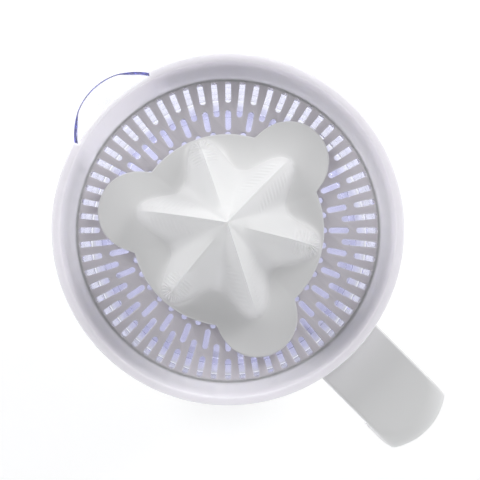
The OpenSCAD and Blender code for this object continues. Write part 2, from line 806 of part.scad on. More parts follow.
// Body of the switch beside the spring tube
module switch_body() color("black") translate([switch_x, 0, 0]) difference() {
    block([switch_w, switch_l], switch_z, switch_top);
    rod(plunger_r + run_gap, switch_top - plunger_in - press_travel - over, switch_top + over);
    for (s = [-1, 1]) translate([0, s * switch_post_y, 0])
        rod(switch_peg_r + peg_gap, switch_z - over, switch_z + switch_h / 2 + lap);
}

// Blades under the switch
module switch_terminals() color("gold") for (i = [-1 : 1])
    translate([switch_x + blade_at, i * blade_pitch, 0])
        block([blade_t, blade_w], switch_z - blade_l, switch_z);

// Plunger that the thrust cup pushes
module switch_plunger() color("orangered") translate([switch_x, 0, 0])
    rod(plunger_r, switch_top - plunger_in, plunger_top);

// Loose axle between the shaft and the cone, kept in the chimney by its collar
module drive_axle() color("white") difference() {
    union() {
        rod(axle_r, axle_z, hub_z - lap);
        rod(collar_r, guide_z - press_travel / 2 - collar_t, guide_z - press_travel / 2);
        translate([0, 0, hub_z - over]) cylinder(r = axle_hex_r, h = axle_top - hub_z + over, $fn = 6);
    }
    translate([0, 0, axle_z - over]) cylinder(r = shaft_r + hex_gap, h = shaft_top - axle_z + over, $fn = 6);
}

// Space of the pouring lip: a slope from a small circle on the wall to a wide one at the edge
module lip_form(inset, extra) {
    slope_foot_r = 7;
    slope_foot_in = 3;
    edge_h = 0.2;
    slope_foot_x = jug_floor_r + jug_slope * (jug_h - spout_h) - slope_foot_r - slope_foot_in;
    hull() {
        translate([-lip_x, 0, jug_rim_z + extra]) mirror([0, 0, 1])
            cylinder(r = spout_r - inset, h = edge_h + extra, $fn = 64);
        translate([-slope_foot_x, 0, jug_rim_z - spout_h])
            cylinder(r = slope_foot_r - inset, h = edge_h, $fn = 64);
    }
}

// Clear jug with its chimney, pouring lip, foot ring and handle tongue
module jug() color("lightsteelblue", 0.5) difference() {
    union() {
        difference() {
            union() {
                rotate_extrude() cup_section(jug_floor_r, jug_r, jug_floor_z, jug_rim_z, jug_edge_r);
                lip_form(0, 0);
                translate([jug_r - tongue_root, -tongue_half, tongue_z])
                    cube([tongue_l + tongue_root, 2 * tongue_half, tongue_t]);
            }
            rotate_extrude() cup_section(jug_floor_r - jug_wall, jug_r - jug_wall + jug_slope * over,
                jug_floor_z + jug_floor_t, jug_rim_z + over, jug_edge_r - jug_wall);
            lip_form(jug_wall, over);
        }
        translate([0, 0, jug_floor_z])
            cylinder(r1 = chimney_foot_r, r2 = chimney_top_r, h = chimney_z - jug_floor_z);
        foot_ring();
    }
    translate([0, 0, jug_floor_z - over])
        cylinder(r1 = chimney_foot_r - chimney_wall + chimney_slope * over,
            r2 = chimney_top_r - chimney_wall + chimney_slope * guide_l, h = guide_z - jug_floor_z + over);
    rod(guide_r, guide_z - over, chimney_z + over);
    for (s = [-1, 1]) translate([handle_screw_at[0], s * handle_screw_at[1], 0])
        rod(screw_hole_r, tongue_z - over, tongue_top + over);
}

// Ring under the jug, open where the stops of the deck stand
module foot_ring() difference() {
    tube(jug_foot_r + jug_foot_w, jug_foot_r, deck_z, jug_floor_z + lap);
    around(stop_angles, jug_foot_r + jug_foot_w / 2)
        block([3 * jug_foot_w, stop_w + 2 * fit_gap], deck_z - over, jug_floor_z + over);
}

// Full outside of the handle, drawn in by an inset and open below and behind for cutting
module handle_form(inset, cut) {
    half = handle_w / 2 - inset;
    low = cut ? handle_z + inset : handle_z;
    more = cut ? over : 0;
    union() {
        translate([jug_r - handle_root, -half, handle_top - handle_depth - more])
            cube([handle_x - jug_r + handle_root + lap, 2 * half, handle_depth - inset + more]);
        intersection() {
            translate([handle_x, 0, 0]) rotate_extrude() difference() {
                cap_section(handle_end_r - inset, handle_end_r - inset, low, handle_top - inset,
                    handle_bend_r - inset);
                hollow = [handle_end_r - handle_depth, handle_top - handle_depth - low];
                translate([-over, low - over]) square(hollow + (over - more) * [1, 1]);
            }
            translate([handle_x, -half, low]) cube([handle_end_r + over, 2 * half, handle_top - low]);
        }
    }
}

// Channel-shaped handle with ribs, closed outside and open towards the jug
module jug_handle() color("white") difference() {
    union() {
        difference() {
            handle_form(0, false);
            handle_form(handle_t, true);
        }
        intersection() {
            handle_form(lap, false);
            handle_ribs();
        }
        for (s = [-1, 1]) translate([handle_screw_at[0], s * handle_screw_at[1], 0])
            rod(handle_boss_r, tongue_top + run_gap, handle_under + lap);
    }
    rod(skirt_in_r + handle_gap, handle_z - over, handle_top + over);
    for (s = [-1, 1]) translate([handle_screw_at[0], s * handle_screw_at[1], 0])
        rod(pilot_r, tongue_top - over, handle_top - over);
}

// Ribs across the channel of the handle
module handle_ribs() {
    rib_t = 1.6;
    rib_pitch = 11;
    rib_end = 8;
    for (x = [tongue_end + rib_t : rib_pitch : handle_x + rib_end])
        translate([x, -handle_w / 2, handle_top - handle_depth]) cube([rib_t, handle_w, handle_depth]);
    for (z = [handle_z + rib_end : rib_pitch : handle_top - handle_depth - rib_end / 2])
        translate([handle_x, -handle_w / 2, z]) cube([handle_end_r, handle_w, rib_t]);
}

// Screws from below through the tongue into the handle
module handle_screws() color("silver") for (s = [-1, 1])
    translate([handle_screw_at[0], s * handle_screw_at[1], 0]) screw(tongue_z - screw_head_h, handle_under);

// Bowl wall, rim and skirt of the strainer
module strainer_rim() color("white") difference() {
    rotate_extrude() union() {
        polygon([
            [disc_r - ledge_w, disc_z - disc_t - ledge_t],
            [outer_wall_r(disc_z - disc_t - ledge_t), disc_z - disc_t - ledge_t],
            [outer_wall_r(seat_z), seat_z],
            [skirt_in_r, seat_z],
            [skirt_in_r, skirt_z],
            [rim_r, skirt_z],
            [rim_r, rim_z - rim_land],
            [rim_r - rim_land, rim_z],
            [bowl_top_r - lap, rim_z],
            [bowl_top_r - lap, rim_z - rim_land],
            [bowl_floor_r, disc_z],
            [bowl_floor_r, disc_z - disc_t],
            [disc_r - ledge_w, disc_z - disc_t]
        ]);
        translate([rim_r - rim_land, rim_z - rim_land]) circle(rim_land);
    }
    rotate(180 - lip_half) rotate_extrude(angle = 2 * lip_half) {
        translate([skirt_in_r - fit_gap / 2, skirt_z - over]) square([2 * skirt_t, skirt_h + 2 * over]);
        translate([bowl_floor_r, rim_z - lip_notch]) square([rim_r - bowl_floor_r + over, lip_notch + over]);
    }
}
// Half angle of the gap through which the pouring lip passes the skirt
lip_x = spout_reach - spout_r;
lip_half = acos((skirt_in_r ^ 2 + lip_x ^ 2 - spout_r ^ 2) / (2 * skirt_in_r * lip_x))
    + 2 * fit_gap / skirt_in_r * 180 / PI;
function outer_wall_r(z) = bowl_floor_r + bowl_wall + bowl_slope * (z - disc_z);

// Outline of one drain slot along X
module slot_outline(outer_r, length) {
    translate([outer_r - length + slot_w / 2, -slot_w / 2]) square([length - slot_w, slot_w]);
    translate([outer_r - length + slot_w / 2, 0]) circle(slot_w / 2, $fn = 24);
    translate([outer_r - slot_w / 2, 0]) circle(slot_w / 2, $fn = 24);
}

// Flat sieve: long slots between pairs of short ones, and a row of holes inside
module strainer_disc() color("whitesmoke")
    translate([0, 0, disc_z - disc_t]) linear_extrude(disc_t) sieve_outline();
module sieve_outline() difference() {
    circle(disc_r);
    circle(disc_hole_r);
    for (i = [0 : long_slots - 1]) {
        rotate(360 * (i + 0.5) / long_slots) slot_outline(slot_out_r, long_slot_l);
        rotate(360 * i / long_slots) slot_outline(slot_out_r, short_slot_l);
        rotate(360 * i / long_slots) slot_outline(mid_slot_out_r, mid_slot_l);
    }
    for (i = [0 : inner_holes - 1]) rotate(360 * i / inner_holes) slot_outline(hole_out_r, hole_l);
}

// Star of the cone: ridge and valley radii fall from the flange to the point
ridge_bow = 1.5;
ridge_round = 0.9;
valley_bow = 1.25;
function ridge_r(t) = star_tip_r * (1 - t ^ ridge_bow) ^ ridge_round;
function valley_r(t) = star_valley_r * (1 - t ^ valley_bow);
function fold(a, step) = abs((a % step + step + step / 2) % step - step / 2);
function is_main(a) = fold(a, 120) < 30;
// Lesser ridges fade out short of the point
lesser_end = 0.9;
lesser_fade = 0.35;
function ridge_share(a, t) = is_main(a) ? 1 : max(0, min(1, (lesser_end - t) / lesser_fade));
// A crest is round at its foot and sharp towards the point
soft_power = 0.85;
sharp_power = 1.3;
sharpening = 1.6;
function crest(a, t) =
    let (d = fold(a, 60))
    let (soft = ((1 + cos(6 * d)) / 2) ^ soft_power)
    let (sharp = (1 - d / 30) ^ sharp_power)
    let (share = min(1, sharpening * t))
    soft * (1 - share) + sharp * share;
function star_r(a, t) = valley_r(t) + (ridge_r(t) - valley_r(t)) * crest(a, t) * ridge_share(a, t);

// Edge of the flange: a disc with a round lobe under each main ridge, softly joined
join_power = 24;
function lobe_edge(d) =
    let (s = lobe_off * sin(d))
    s >= lobe_r ? 0 : lobe_off * cos(d) + sqrt(lobe_r ^ 2 - s ^ 2);
function flange_edge(a) = (flange_r ^ join_power + lobe_edge(fold(a, 120)) ^ join_power) ^ (1 / join_power);

// Rows of the cone's skin, from the inner top down, round the flange and up to the point
cone_sides = 72;
inner_top = 0.66;
inner_roof = 0.04;
hub_roof = 0.06;
inner_steps = 5;
outer_steps = 11;
dish_steps = 3;
function cone_rows(a) = concat(
    [for (k = [inner_steps : -1 : 0])
        let (t = inner_top * k / inner_steps)
        [star_r(a, t) - cone_wall, k == 0 ? flange_z : star_z + cone_h * t]],
    [[flange_edge(a), flange_z]],
    [for (k = [dish_steps : -1 : 1])
        let (s = k / dish_steps)
        [star_r(a, 0) + (flange_edge(a) - star_r(a, 0)) * s, star_z + dish_rise * (1 - s) ^ 2]],
    [for (k = [0 : outer_steps - 1])
        let (t = k == 0 ? dish_rise / cone_h : k / outer_steps)
        [star_r(a, t), star_z + cone_h * t]]
);
function turned(p, a) = [p[0] * cos(a + ridge_turn), p[0] * sin(a + ridge_turn), p[1]];
module cone_skin() {
    n = cone_sides;
    columns = [for (i = [0 : n - 1]) cone_rows(360 * i / n)];
    rows = len(columns[0]);
    inner_point = n * rows;
    outer_point = n * rows + 1;
    polyhedron(
        points = concat(
            [for (i = [0 : n - 1], p = columns[i]) turned(p, 360 * i / n)],
            [[0, 0, star_z + cone_h * (inner_top + inner_roof)], [0, 0, star_z + cone_h]]
        ),
        faces = concat(
            [for (i = [0 : n - 1], k = [0 : rows - 2], half = [0, 1])
                let (a = i * rows + k, b = (i + 1) % n * rows + k)
                half == 0 ? [a, a + 1, b] : [b, a + 1, b + 1]],
            [for (i = [0 : n - 1]) [inner_point, i * rows, (i + 1) % n * rows]],
            [for (i = [0 : n - 1]) [outer_point, (i + 1) % n * rows + rows - 1, i * rows + rows - 1]]
        )
    );
}

// Reamer cone with its keyed hub
module pressing_cone() color("white") difference() {
    union() {
        cone_skin();
        rod(hub_r, hub_z, star_z + cone_h * (inner_top + hub_roof));
    }
    translate([0, 0, hub_z - over]) cylinder(r = axle_hex_r + hex_gap, h = axle_top - hub_z + over, $fn = 6);
}

// Everything shifted so that the length of the part is centred
module place() translate([axis_x, 0, 0]) children();

place() upper_housing();
place() bottom_plate();
place() rubber_feet();
place() housing_screws();
place() cord_gland();
place() gear_plate();
place() plate_screws();
place() stator_core();
place() coil_bobbins();
place() coil_windings();
place() rotor_bracket();
place() rotor_bushes();
place() motor_screws();
place() rotor_magnet();
place() rotor_shaft();
place() rotor_pinion();
place() idler_gear();
place() idler_pin();
place() output_gear();
place() output_shaft();
place() lower_bush();
place() upper_bush();
place() shaft_seal();
place() thrust_cup();
place() return_spring();
place() switch_body();
place() switch_terminals();
place() switch_plunger();
place() drive_axle();
place() jug();
place() jug_handle();
place() handle_screws();
place() strainer_rim();
place() strainer_disc();
place() pressing_cone();
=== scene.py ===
import itertools
import json
import math

import bmesh
import bpy
import numpy as np
from mathutils import Matrix, Vector


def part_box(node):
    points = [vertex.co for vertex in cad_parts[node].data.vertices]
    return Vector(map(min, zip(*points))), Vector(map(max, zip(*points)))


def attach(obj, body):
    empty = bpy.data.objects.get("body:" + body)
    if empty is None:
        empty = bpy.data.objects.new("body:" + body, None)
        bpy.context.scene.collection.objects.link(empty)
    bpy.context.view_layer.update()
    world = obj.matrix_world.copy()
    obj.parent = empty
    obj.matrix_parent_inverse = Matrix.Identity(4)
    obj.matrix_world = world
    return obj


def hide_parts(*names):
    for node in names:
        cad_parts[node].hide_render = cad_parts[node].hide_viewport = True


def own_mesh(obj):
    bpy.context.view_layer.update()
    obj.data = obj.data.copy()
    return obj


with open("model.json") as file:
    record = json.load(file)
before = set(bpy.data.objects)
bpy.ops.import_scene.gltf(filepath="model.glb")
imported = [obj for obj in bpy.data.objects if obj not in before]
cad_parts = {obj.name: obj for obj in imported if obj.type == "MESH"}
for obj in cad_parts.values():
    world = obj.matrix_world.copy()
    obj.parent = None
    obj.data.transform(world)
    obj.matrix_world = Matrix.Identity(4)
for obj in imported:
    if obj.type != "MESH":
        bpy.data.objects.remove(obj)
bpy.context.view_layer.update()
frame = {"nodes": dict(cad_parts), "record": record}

# The part's lengths are in millimetres about the drive axis, and its angles are in degrees
# Lamps, floor, camera distance and the depths in materials are in metres
MM = 0.001


def box_mm(node):
    """Lowest and highest corner of a CAD node, in millimetres."""
    low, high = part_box(node)
    return np.array(low) / MM, np.array(high) / MM


AXLE_LOW, AXLE_HIGH = box_mm("drive_axle")
RIM_LOW, RIM_HIGH = box_mm("strainer_rim")
DISC_LOW, DISC_HIGH = box_mm("strainer_disc")
CONE_LOW, CONE_HIGH = box_mm("pressing_cone")
JUG_LOW, JUG_HIGH = box_mm("jug")
HANDLE_LOW, HANDLE_HIGH = box_mm("jug_handle")
SPRING_LOW, SPRING_HIGH = box_mm("return_spring")
AXIS_X = (AXLE_LOW[0] + AXLE_HIGH[0]) / 2

# Fits and small roundings
FIT_GAP = 0.3
BEND_STEPS = 5
TINY = 1e-9

# Strainer
RIM_R = RIM_HIGH[0] - AXIS_X
RIM_TOP = RIM_HIGH[2]
SKIRT_T = 1.6
SKIRT_IN_R = RIM_R - SKIRT_T
SKIRT_LOW = 145.0
SEAT_Z = JUG_HIGH[2] + FIT_GAP
RIM_LAND = 1.1
RIM_INSET = 2.2
RIM_INNER_R = SKIRT_IN_R - RIM_INSET
DISC_R = DISC_HIGH[1]
DISC_TOP = DISC_HIGH[2]
DISC_LOW_Z = DISC_LOW[2]
BOWL_FLOOR_R = DISC_R + FIT_GAP
BOWL_WALL = 1.7
WALL_INSET = 0.2
LEDGE_W = 2.0
FLAP_W = 1.25
LIP_NOTCH = 1.2
LIP_HALF = 16.6
DISC_HOLE_R = 11.8
SLOT_W = 2.7
SLOT_MARGIN = 1.4
MID_SLOT_MARGIN = 15.1
INNER_SLOT_R = 47.2
SLOT_ROWS = [
    # count, share of a pitch turned, outer end, length
    (32, 0.5, BOWL_FLOOR_R - SLOT_MARGIN, 16.9),
    (32, 0.0, BOWL_FLOOR_R - SLOT_MARGIN, 10.2),
    (32, 0.0, BOWL_FLOOR_R - MID_SLOT_MARGIN, 9.6),
    (40, 0.0, INNER_SLOT_R, 7.8),
]

# Jug
JUG_FLOOR_Z = 82.0
JUG_RIM_Z = JUG_HIGH[2]
FOOT_GAP = 0.2
JUG_FOOT_Z = JUG_LOW[2] + FOOT_GAP
JUG_R = SKIRT_IN_R - FIT_GAP
JUG_FLOOR_R = 70.5
JUG_WALL = 1.8
JUG_EDGE_T = 1.72
LIP_EDGE_T = 0.32
LIP_EDGE_SPAN = (7, 12)
JUG_FLOOR_T = 2.2
JUG_CORNER_R = 3.0
JUG_SLOPE = (JUG_R - JUG_FLOOR_R) / (JUG_RIM_Z - JUG_FLOOR_Z)
FOOT_RING = (61.0, 64.0)
SPOUT_AT = 178.8
SPOUT_R = 30.0
SPOUT_TIP = 1.2
SPOUT_X = AXIS_X - JUG_LOW[0] + SPOUT_TIP - SPOUT_R
SPOUT_FOOT_R = 7.0
SPOUT_FOOT_X = 66.15
SPOUT_FOOT_Z = 118.0
SPOUT_BLEND = 0.9
CHIMNEY_FOOT_R = 16.6
CHIMNEY_TOP_R = 10.6
CHIMNEY_TOP = 152.0
CHIMNEY_WALL = 2.0
GUIDE_R = 6.8
GUIDE_Z = 144.0
TONGUE_END = JUG_HIGH[0] - AXIS_X
TONGUE_Z = (133.0, 138.5)
TONGUE_HALF = 15.2
TONGUE_LAP = 3.5
SCREW_X = 88.6
SCREW_Y = 9.0
SCREW_PLACES = [(SCREW_X, -SCREW_Y), (SCREW_X, SCREW_Y)]
SCREW_HOLE_R = 1.8

# Handle
HANDLE_W = HANDLE_HIGH[1] - HANDLE_LOW[1]
HANDLE_TOP = HANDLE_HIGH[2]
HANDLE_FOOT = HANDLE_LOW[2]
HANDLE_END_R = 30.5
HANDLE_X = HANDLE_HIGH[0] - AXIS_X - HANDLE_END_R
HANDLE_BEND_R = 10.0
HANDLE_T = 2.5
HANDLE_DEPTH = 9.9
HANDLE_ROOT_STEP = 0.6
HANDLE_ROOT_R = SKIRT_IN_R + HANDLE_ROOT_STEP
HANDLE_EDGE = 1.6
HANDLE_INNER_EDGE = 0.8
RIB_T = 1.6
RIB_PITCH = 11.0
RIB_END = 8.0
BOSS_R = 4.5
BOSS_GAP = 0.2

# Reamer cone
CONE_TOP = CONE_HIGH[2]
FLANGE_Z = CONE_LOW[2]
FLANGE_T = 1.8
STAR_Z = FLANGE_Z + FLANGE_T
CONE_H = CONE_TOP - STAR_Z
STAR_TIP_R = 44.2
STAR_VALLEY_R = 29.5
FLANGE_R = 45.4
LOBE_OFF = 43.6
LOBE_R = 18.9
DISH_RISE = 2.2
CONE_WALL = 2.4
CONE_TURN = -26.5
RIDGE_STEP = 60
MAIN_STEP = 120
INNER_TOP = 0.66
HUB_R = 9.0
HUB_Z = 155.0
HUB_BORE_TOP = 186.0
HUB_HEX_R = 6.35

# Return spring
SPRING_R = 6.0
WIRE_R = 0.6
SPRING_TURNS = 7


def new_mesh(name, points, faces, sharp_angle):
    """Smooth mesh object from points in millimetres about the drive axis."""
    mesh = bpy.data.meshes.new(name)
    world = (np.asarray(points, float) + [AXIS_X, 0, 0]) * MM
    mesh.from_pydata(world.tolist(), [], faces)
    mesh.validate()
    finish_shading(mesh, sharp_angle)
    piece = bpy.data.objects.new(name, mesh)
    bpy.context.scene.collection.objects.link(piece)
    return piece


def finish_shading(mesh, sharp_angle):
    """Smooth shading with sharp edges where faces meet at more than the angle."""
    mesh.shade_smooth()
    mesh.set_sharp_from_angle(angle=math.radians(sharp_angle))
    mesh.update()


def dress(piece, node, body, material):
    """The piece stands for a CAD node and rides on that node's body."""
    piece.data.materials.clear()
    piece.data.materials.append(material)
    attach(piece, body)
    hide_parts(node)


def grid_faces(rows, columns, closed_rows=False):
    """Quads of a grid that closes along its columns; a point's index is row * columns + column."""
    last_row = rows if closed_rows else rows - 1
    row, column = np.meshgrid(np.arange(last_row), np.arange(columns), indexing="ij")
    next_row = (row + 1) % rows
    next_column = (column + 1) % columns
    corners = [
        row * columns + column,
        row * columns + next_column,
        next_row * columns + next_column,
        next_row * columns + column,
    ]
    return np.stack(corners, axis=-1).reshape(-1, 4).tolist()


def rounded(corners, closed=True, steps=BEND_STEPS):
    """Outline with a bend in place of each corner (x, y, bend)."""
    most = 0.48
    points = np.array([c[:2] for c in corners], float)
    count = len(points)
    outline = []
    for i, corner in enumerate(corners):
        if not closed and i in (0, count - 1):
            outline.append(points[i])
            continue
        here = points[i]
        before = points[i - 1] - here
        after = points[(i + 1) % count] - here
        start = here + before * min(corner[2] / max(np.linalg.norm(before), TINY), most)
        end = here + after * min(corner[2] / max(np.linalg.norm(after), TINY), most)
        for k in range(steps + 1):
            t = k / steps
            outline.append((1 - t) ** 2 * start + 2 * t * (1 - t) * here + t ** 2 * end)
    return np.array(outline)


def spun(radius, height, angles):
    """Points of rows of radii and heights, each turned to its column's angle in degrees."""
    turn = np.radians(angles)
    radius, height, turn = np.broadcast_arrays(radius, height, turn)
    points = np.stack([radius * np.cos(turn), radius * np.sin(turn), height], axis=-1)
    return points.reshape(-1, 3)


def smooth_step(value, low, high):
    """0 below low, 1 above high, and an even curve between."""
    t = np.clip((value - low) / (high - low), 0, 1)
    return t * t * (3 - 2 * t)


def fold(angle, step):
    """Degrees from an angle to the nearest multiple of the step."""
    return np.abs((angle + step / 2) % step - step / 2)


def apply_boolean(piece, tools, operation):
    """Joins each tool to the piece, or cuts it out, and removes the tool."""
    for tool in tools:
        step = piece.modifiers.new(tool.name, "BOOLEAN")
        step.operation = operation
        step.solver = "EXACT"
        step.object = tool
    depsgraph = bpy.context.evaluated_depsgraph_get()
    mesh = bpy.data.meshes.new_from_object(piece.evaluated_get(depsgraph))
    piece.modifiers.clear()
    piece.data = mesh
    for tool in tools:
        bpy.data.objects.remove(tool)


def block(name, low, high):
    """Box between two corners in millimetres about the drive axis."""
    corners = list(itertools.product(*zip(low, high)))
    faces = [(0, 1, 3, 2), (4, 6, 7, 5), (0, 4, 5, 1), (2, 3, 7, 6), (0, 2, 6, 4), (1, 5, 7, 3)]
    return new_mesh(name, corners, faces, sharp_angle=30)


def rod(name, centre, radius, low, high, sides=48):
    """Upright round bar in millimetres about the drive axis."""
    angles = np.arange(sides) * 360 / sides
    ring = spun(np.full((2, 1), radius), np.array([[low], [high]]), angles)
    points = ring + [centre[0], centre[1], 0]
    faces = grid_faces(2, sides)
    faces.append(list(range(sides))[::-1])
    faces.append(list(range(sides, 2 * sides)))
    return new_mesh(name, points, faces, sharp_angle=30)


# Materials

def add_node(tree, kind, **values):
    """New shader node with its sockets and settings given by name."""
    node = tree.nodes.new(kind)
    for key, value in values.items():
        if key in node.inputs:
            node.inputs[key].default_value = value
        else:
            setattr(node, key, value)
    return node


def new_material(name, **values):
    """Material with one Principled shader whose sockets are given by name."""
    material = bpy.data.materials.new(name)
    material.use_nodes = True
    shader = material.node_tree.nodes["Principled BSDF"]
    for key, value in values.items():
        shader.inputs[key.replace("_", " ")].default_value = value
    return material, material.node_tree, shader


def place_node(tree):
    """Socket with the place in the part's own frame, in metres."""
    return add_node(tree, "ShaderNodeTexCoord").outputs["Object"]


def noise_socket(tree, place, scale, detail):
    """Grey noise socket from 0 to 1."""
    noise = add_node(tree, "ShaderNodeTexNoise", Scale=scale, Detail=detail)
    tree.links.new(place, noise.inputs["Vector"])
    return noise.outputs["Fac"]


def tint(tree, shader, factor, first, second):
    """Base colour that wanders between two close colours."""
    mix = add_node(tree, "ShaderNodeMix", data_type="RGBA")
    mix.inputs[6].default_value = (*first, 1)
    mix.inputs[7].default_value = (*second, 1)
    tree.links.new(factor, mix.inputs["Factor"])
    tree.links.new(mix.outputs[2], shader.inputs["Base Color"])


def vary_roughness(tree, shader, factor, low, high):
    """Roughness that wanders between two values."""
    span = add_node(tree, "ShaderNodeMapRange")
    span.inputs["To Min"].default_value = low
    span.inputs["To Max"].default_value = high
    tree.links.new(factor, span.inputs["Value"])
    tree.links.new(span.outputs["Result"], shader.inputs["Roughness"])


def relief(tree, shader, height, depth, strength):
    """Fine surface relief of the given depth in metres."""
    bump = add_node(tree, "ShaderNodeBump", Strength=strength, Distance=depth)
    tree.links.new(height, bump.inputs["Height"])
    tree.links.new(bump.outputs["Normal"], shader.inputs["Normal"])


def moulded(name, first, second, rough, grain=1600, depth=4e-5, strength=0.12):
    """Moulded plastic: faint clouds of tint and a fine satin grain."""
    material, tree, shader = new_material(name, IOR=1.46)
    place = place_node(tree)
    tint(tree, shader, noise_socket(tree, place, scale=35, detail=3), first, second)
    grain_socket = noise_socket(tree, place, grain, detail=2)
    vary_roughness(tree, shader, grain_socket, rough[0], rough[1])
    relief(tree, shader, grain_socket, depth, strength)
    return material


def clear_blue(name):
    """Clear moulded plastic whose walls take on blue with depth."""
    blue_density = 36
    leak_share = 0.015
    material, tree, shader = new_material(
        name, Transmission_Weight=1.0, IOR=1.5, Base_Color=(0.98, 0.985, 1.0, 1))
    place = place_node(tree)
    flow = noise_socket(tree, place, scale=40, detail=1)
    vary_roughness(tree, shader, flow, low=0.0, high=0.02)
    absorb = add_node(tree, "ShaderNodeVolumeAbsorption", Density=blue_density)
    absorb.inputs["Color"].default_value = (0.2, 0.2, 0.78, 1)
    output = tree.nodes["Material Output"]
    tree.links.new(absorb.outputs["Volume"], output.inputs["Volume"])

    # Light falls straight through the thin walls, and a little leaks where it is caught in them
    path = add_node(tree, "ShaderNodeLightPath")
    leak = add_node(tree, "ShaderNodeMath", operation="MAXIMUM")
    leak.inputs[1].default_value = leak_share
    tree.links.new(path.outputs["Is Shadow Ray"], leak.inputs[0])
    clear = add_node(tree, "ShaderNodeBsdfTransparent", Color=(0.98, 0.98, 1, 1))
    mix = add_node(tree, "ShaderNodeMixShader")
    tree.links.new(leak.outputs[0], mix.inputs[0])
    tree.links.new(shader.outputs[0], mix.inputs[1])
    tree.links.new(clear.outputs[0], mix.inputs[2])
    tree.links.new(mix.outputs[0], output.inputs["Surface"])
    return material


def metal(name, first, second, rough, streak):
    """Metal with streaks along one direction."""
    material, tree, shader = new_material(name, Metallic=1.0)
    place = place_node(tree)
    stretch = add_node(tree, "ShaderNodeMapping", Scale=streak)
    tree.links.new(place, stretch.inputs["Vector"])
    lines = noise_socket(tree, stretch.outputs["Vector"], scale=900, detail=3)
    tint(tree, shader, lines, first, second)
    vary_roughness(tree, shader, lines, rough[0], rough[1])
    relief(tree, shader, lines, depth=2e-5, strength=0.2)
    return material


def layered(name, first, second, pitch, direction, metallic, rough):
    """Stacked sheets or wound wire: bands along one direction."""
    material, tree, shader = new_material(name, Metallic=metallic)
    place = place_node(tree)
    # A wave texture of scale 1 repeats at this length
    wave_pitch = 2 * math.pi / 20
    bands = add_node(tree, "ShaderNodeTexWave", Scale=wave_pitch / (pitch * MM), Distortion=0.4)
    bands.bands_direction = direction
    tree.links.new(place, bands.inputs["Vector"])
    tint(tree, shader, bands.outputs["Fac"], first, second)
    wear = noise_socket(tree, place, scale=700, detail=3)
    vary_roughness(tree, shader, wear, rough[0], rough[1])
    relief(tree, shader, bands.outputs["Fac"], depth=1.5e-4, strength=0.5)
    return material


def milky(name, first, second, weight, depth):
    """Thin milky plastic of the strainer, faintly violet, with light inside it."""
    material = moulded(name, first, second, (0.02, 0.06), grain=1200, depth=1e-5, strength=0.03)
    shader = material.node_tree.nodes["Principled BSDF"]
    shader.inputs["IOR"].default_value = 1.59
    shader.inputs["Subsurface Weight"].default_value = weight
    shader.inputs["Subsurface Radius"].default_value = (1, 0.95, 1)
    shader.inputs["Subsurface Scale"].default_value = depth
    return material


def casing_painted_deck_light(name):
    """White plastic with painted light: its level deck is painted lighter than its satin sides, so that
    it looks more brightly lit.
    """
    painted_light_from = 0.6
    painted_light_full = 0.95
    material = moulded(name, (0.7, 0.7, 0.705), (0.67, 0.67, 0.676), (0.45, 0.6))
    tree = material.node_tree
    colour = tree.nodes["Principled BSDF"].inputs["Base Color"]
    # Painted light: faces that look up are painted a lighter white, so the deck under the jug looks
    # brighter lit than its light makes it
    split = add_node(tree, "ShaderNodeSeparateXYZ")
    tree.links.new(add_node(tree, "ShaderNodeTexCoord").outputs["Normal"], split.inputs[0])
    level = add_node(tree, "ShaderNodeMapRange")
    level.inputs["From Min"].default_value = painted_light_from
    level.inputs["From Max"].default_value = painted_light_full
    tree.links.new(split.outputs["Z"], level.inputs["Value"])
    mix = add_node(tree, "ShaderNodeMix", data_type="RGBA")
    mix.inputs[7].default_value = (0.83, 0.83, 0.855, 1)
    tree.links.new(level.outputs["Result"], mix.inputs["Factor"])
    tree.links.new(colour.links[0].from_socket, mix.inputs[6])
    tree.links.new(mix.outputs[2], colour)
    return material


MATERIALS = {
    "white_plastic": moulded("white_plastic", (0.75, 0.75, 0.747), (0.72, 0.72, 0.72), (0.28, 0.42)),
    "grey_plastic": moulded("grey_plastic", (0.5, 0.5, 0.52), (0.46, 0.46, 0.48), (0.4, 0.55)),
    "clear_blue_plastic": clear_blue("clear_blue_plastic"),
    "rubber": moulded("rubber", (0.035, 0.035, 0.037), (0.05, 0.05, 0.05), (0.6, 0.85), 900, 1e-4, 0.3),
    "steel": metal("steel", (0.62, 0.63, 0.65), (0.52, 0.53, 0.55), (0.22, 0.4), (1, 1, 0.1)),
    "core_steel": layered("core_steel", (0.3, 0.31, 0.33), (0.14, 0.14, 0.15), 0.5, "Z", 0.8, (0.4, 0.6)),
    "ferrite": moulded("ferrite", (0.05, 0.05, 0.055), (0.08, 0.075, 0.07), (0.5, 0.75), 500, 1e-4, 0.35),
    "bronze": metal("bronze", (0.55, 0.38, 0.18), (0.4, 0.27, 0.12), (0.35, 0.55), (1, 1, 1)),
    "copper": layered("copper", (0.72, 0.33, 0.14), (0.38, 0.14, 0.05), 0.4, "Y", 0.9, (0.25, 0.4)),
    "gear_plastic": moulded("gear_plastic", (0.78, 0.75, 0.66), (0.72, 0.69, 0.6), (0.35, 0.5)),
    "black_plastic": moulded("black_plastic", (0.02, 0.02, 0.022), (0.035, 0.035, 0.036), (0.35, 0.55)),
}

# One milky plastic in two copies: the rim keeps the light colour, and the sieve's copy is painted darker,
# as painted shade for the dim light that reaches it through the jug
RIM_PLASTIC = milky("rim_plastic", (0.82, 0.792, 0.86), (0.79, 0.762, 0.832), 0.9, 0.009)
SIEVE_PAINTED_SHADE_PLASTIC = milky("sieve_painted_shade_plastic", (0.68, 0.655, 0.69), (0.65, 0.625, 0.665), 0.45, 0.0025)
# The casing's plastic carries painted light on its level deck
CASING_PAINTED_DECK_LIGHT = casing_painted_deck_light("casing_painted_deck_light")


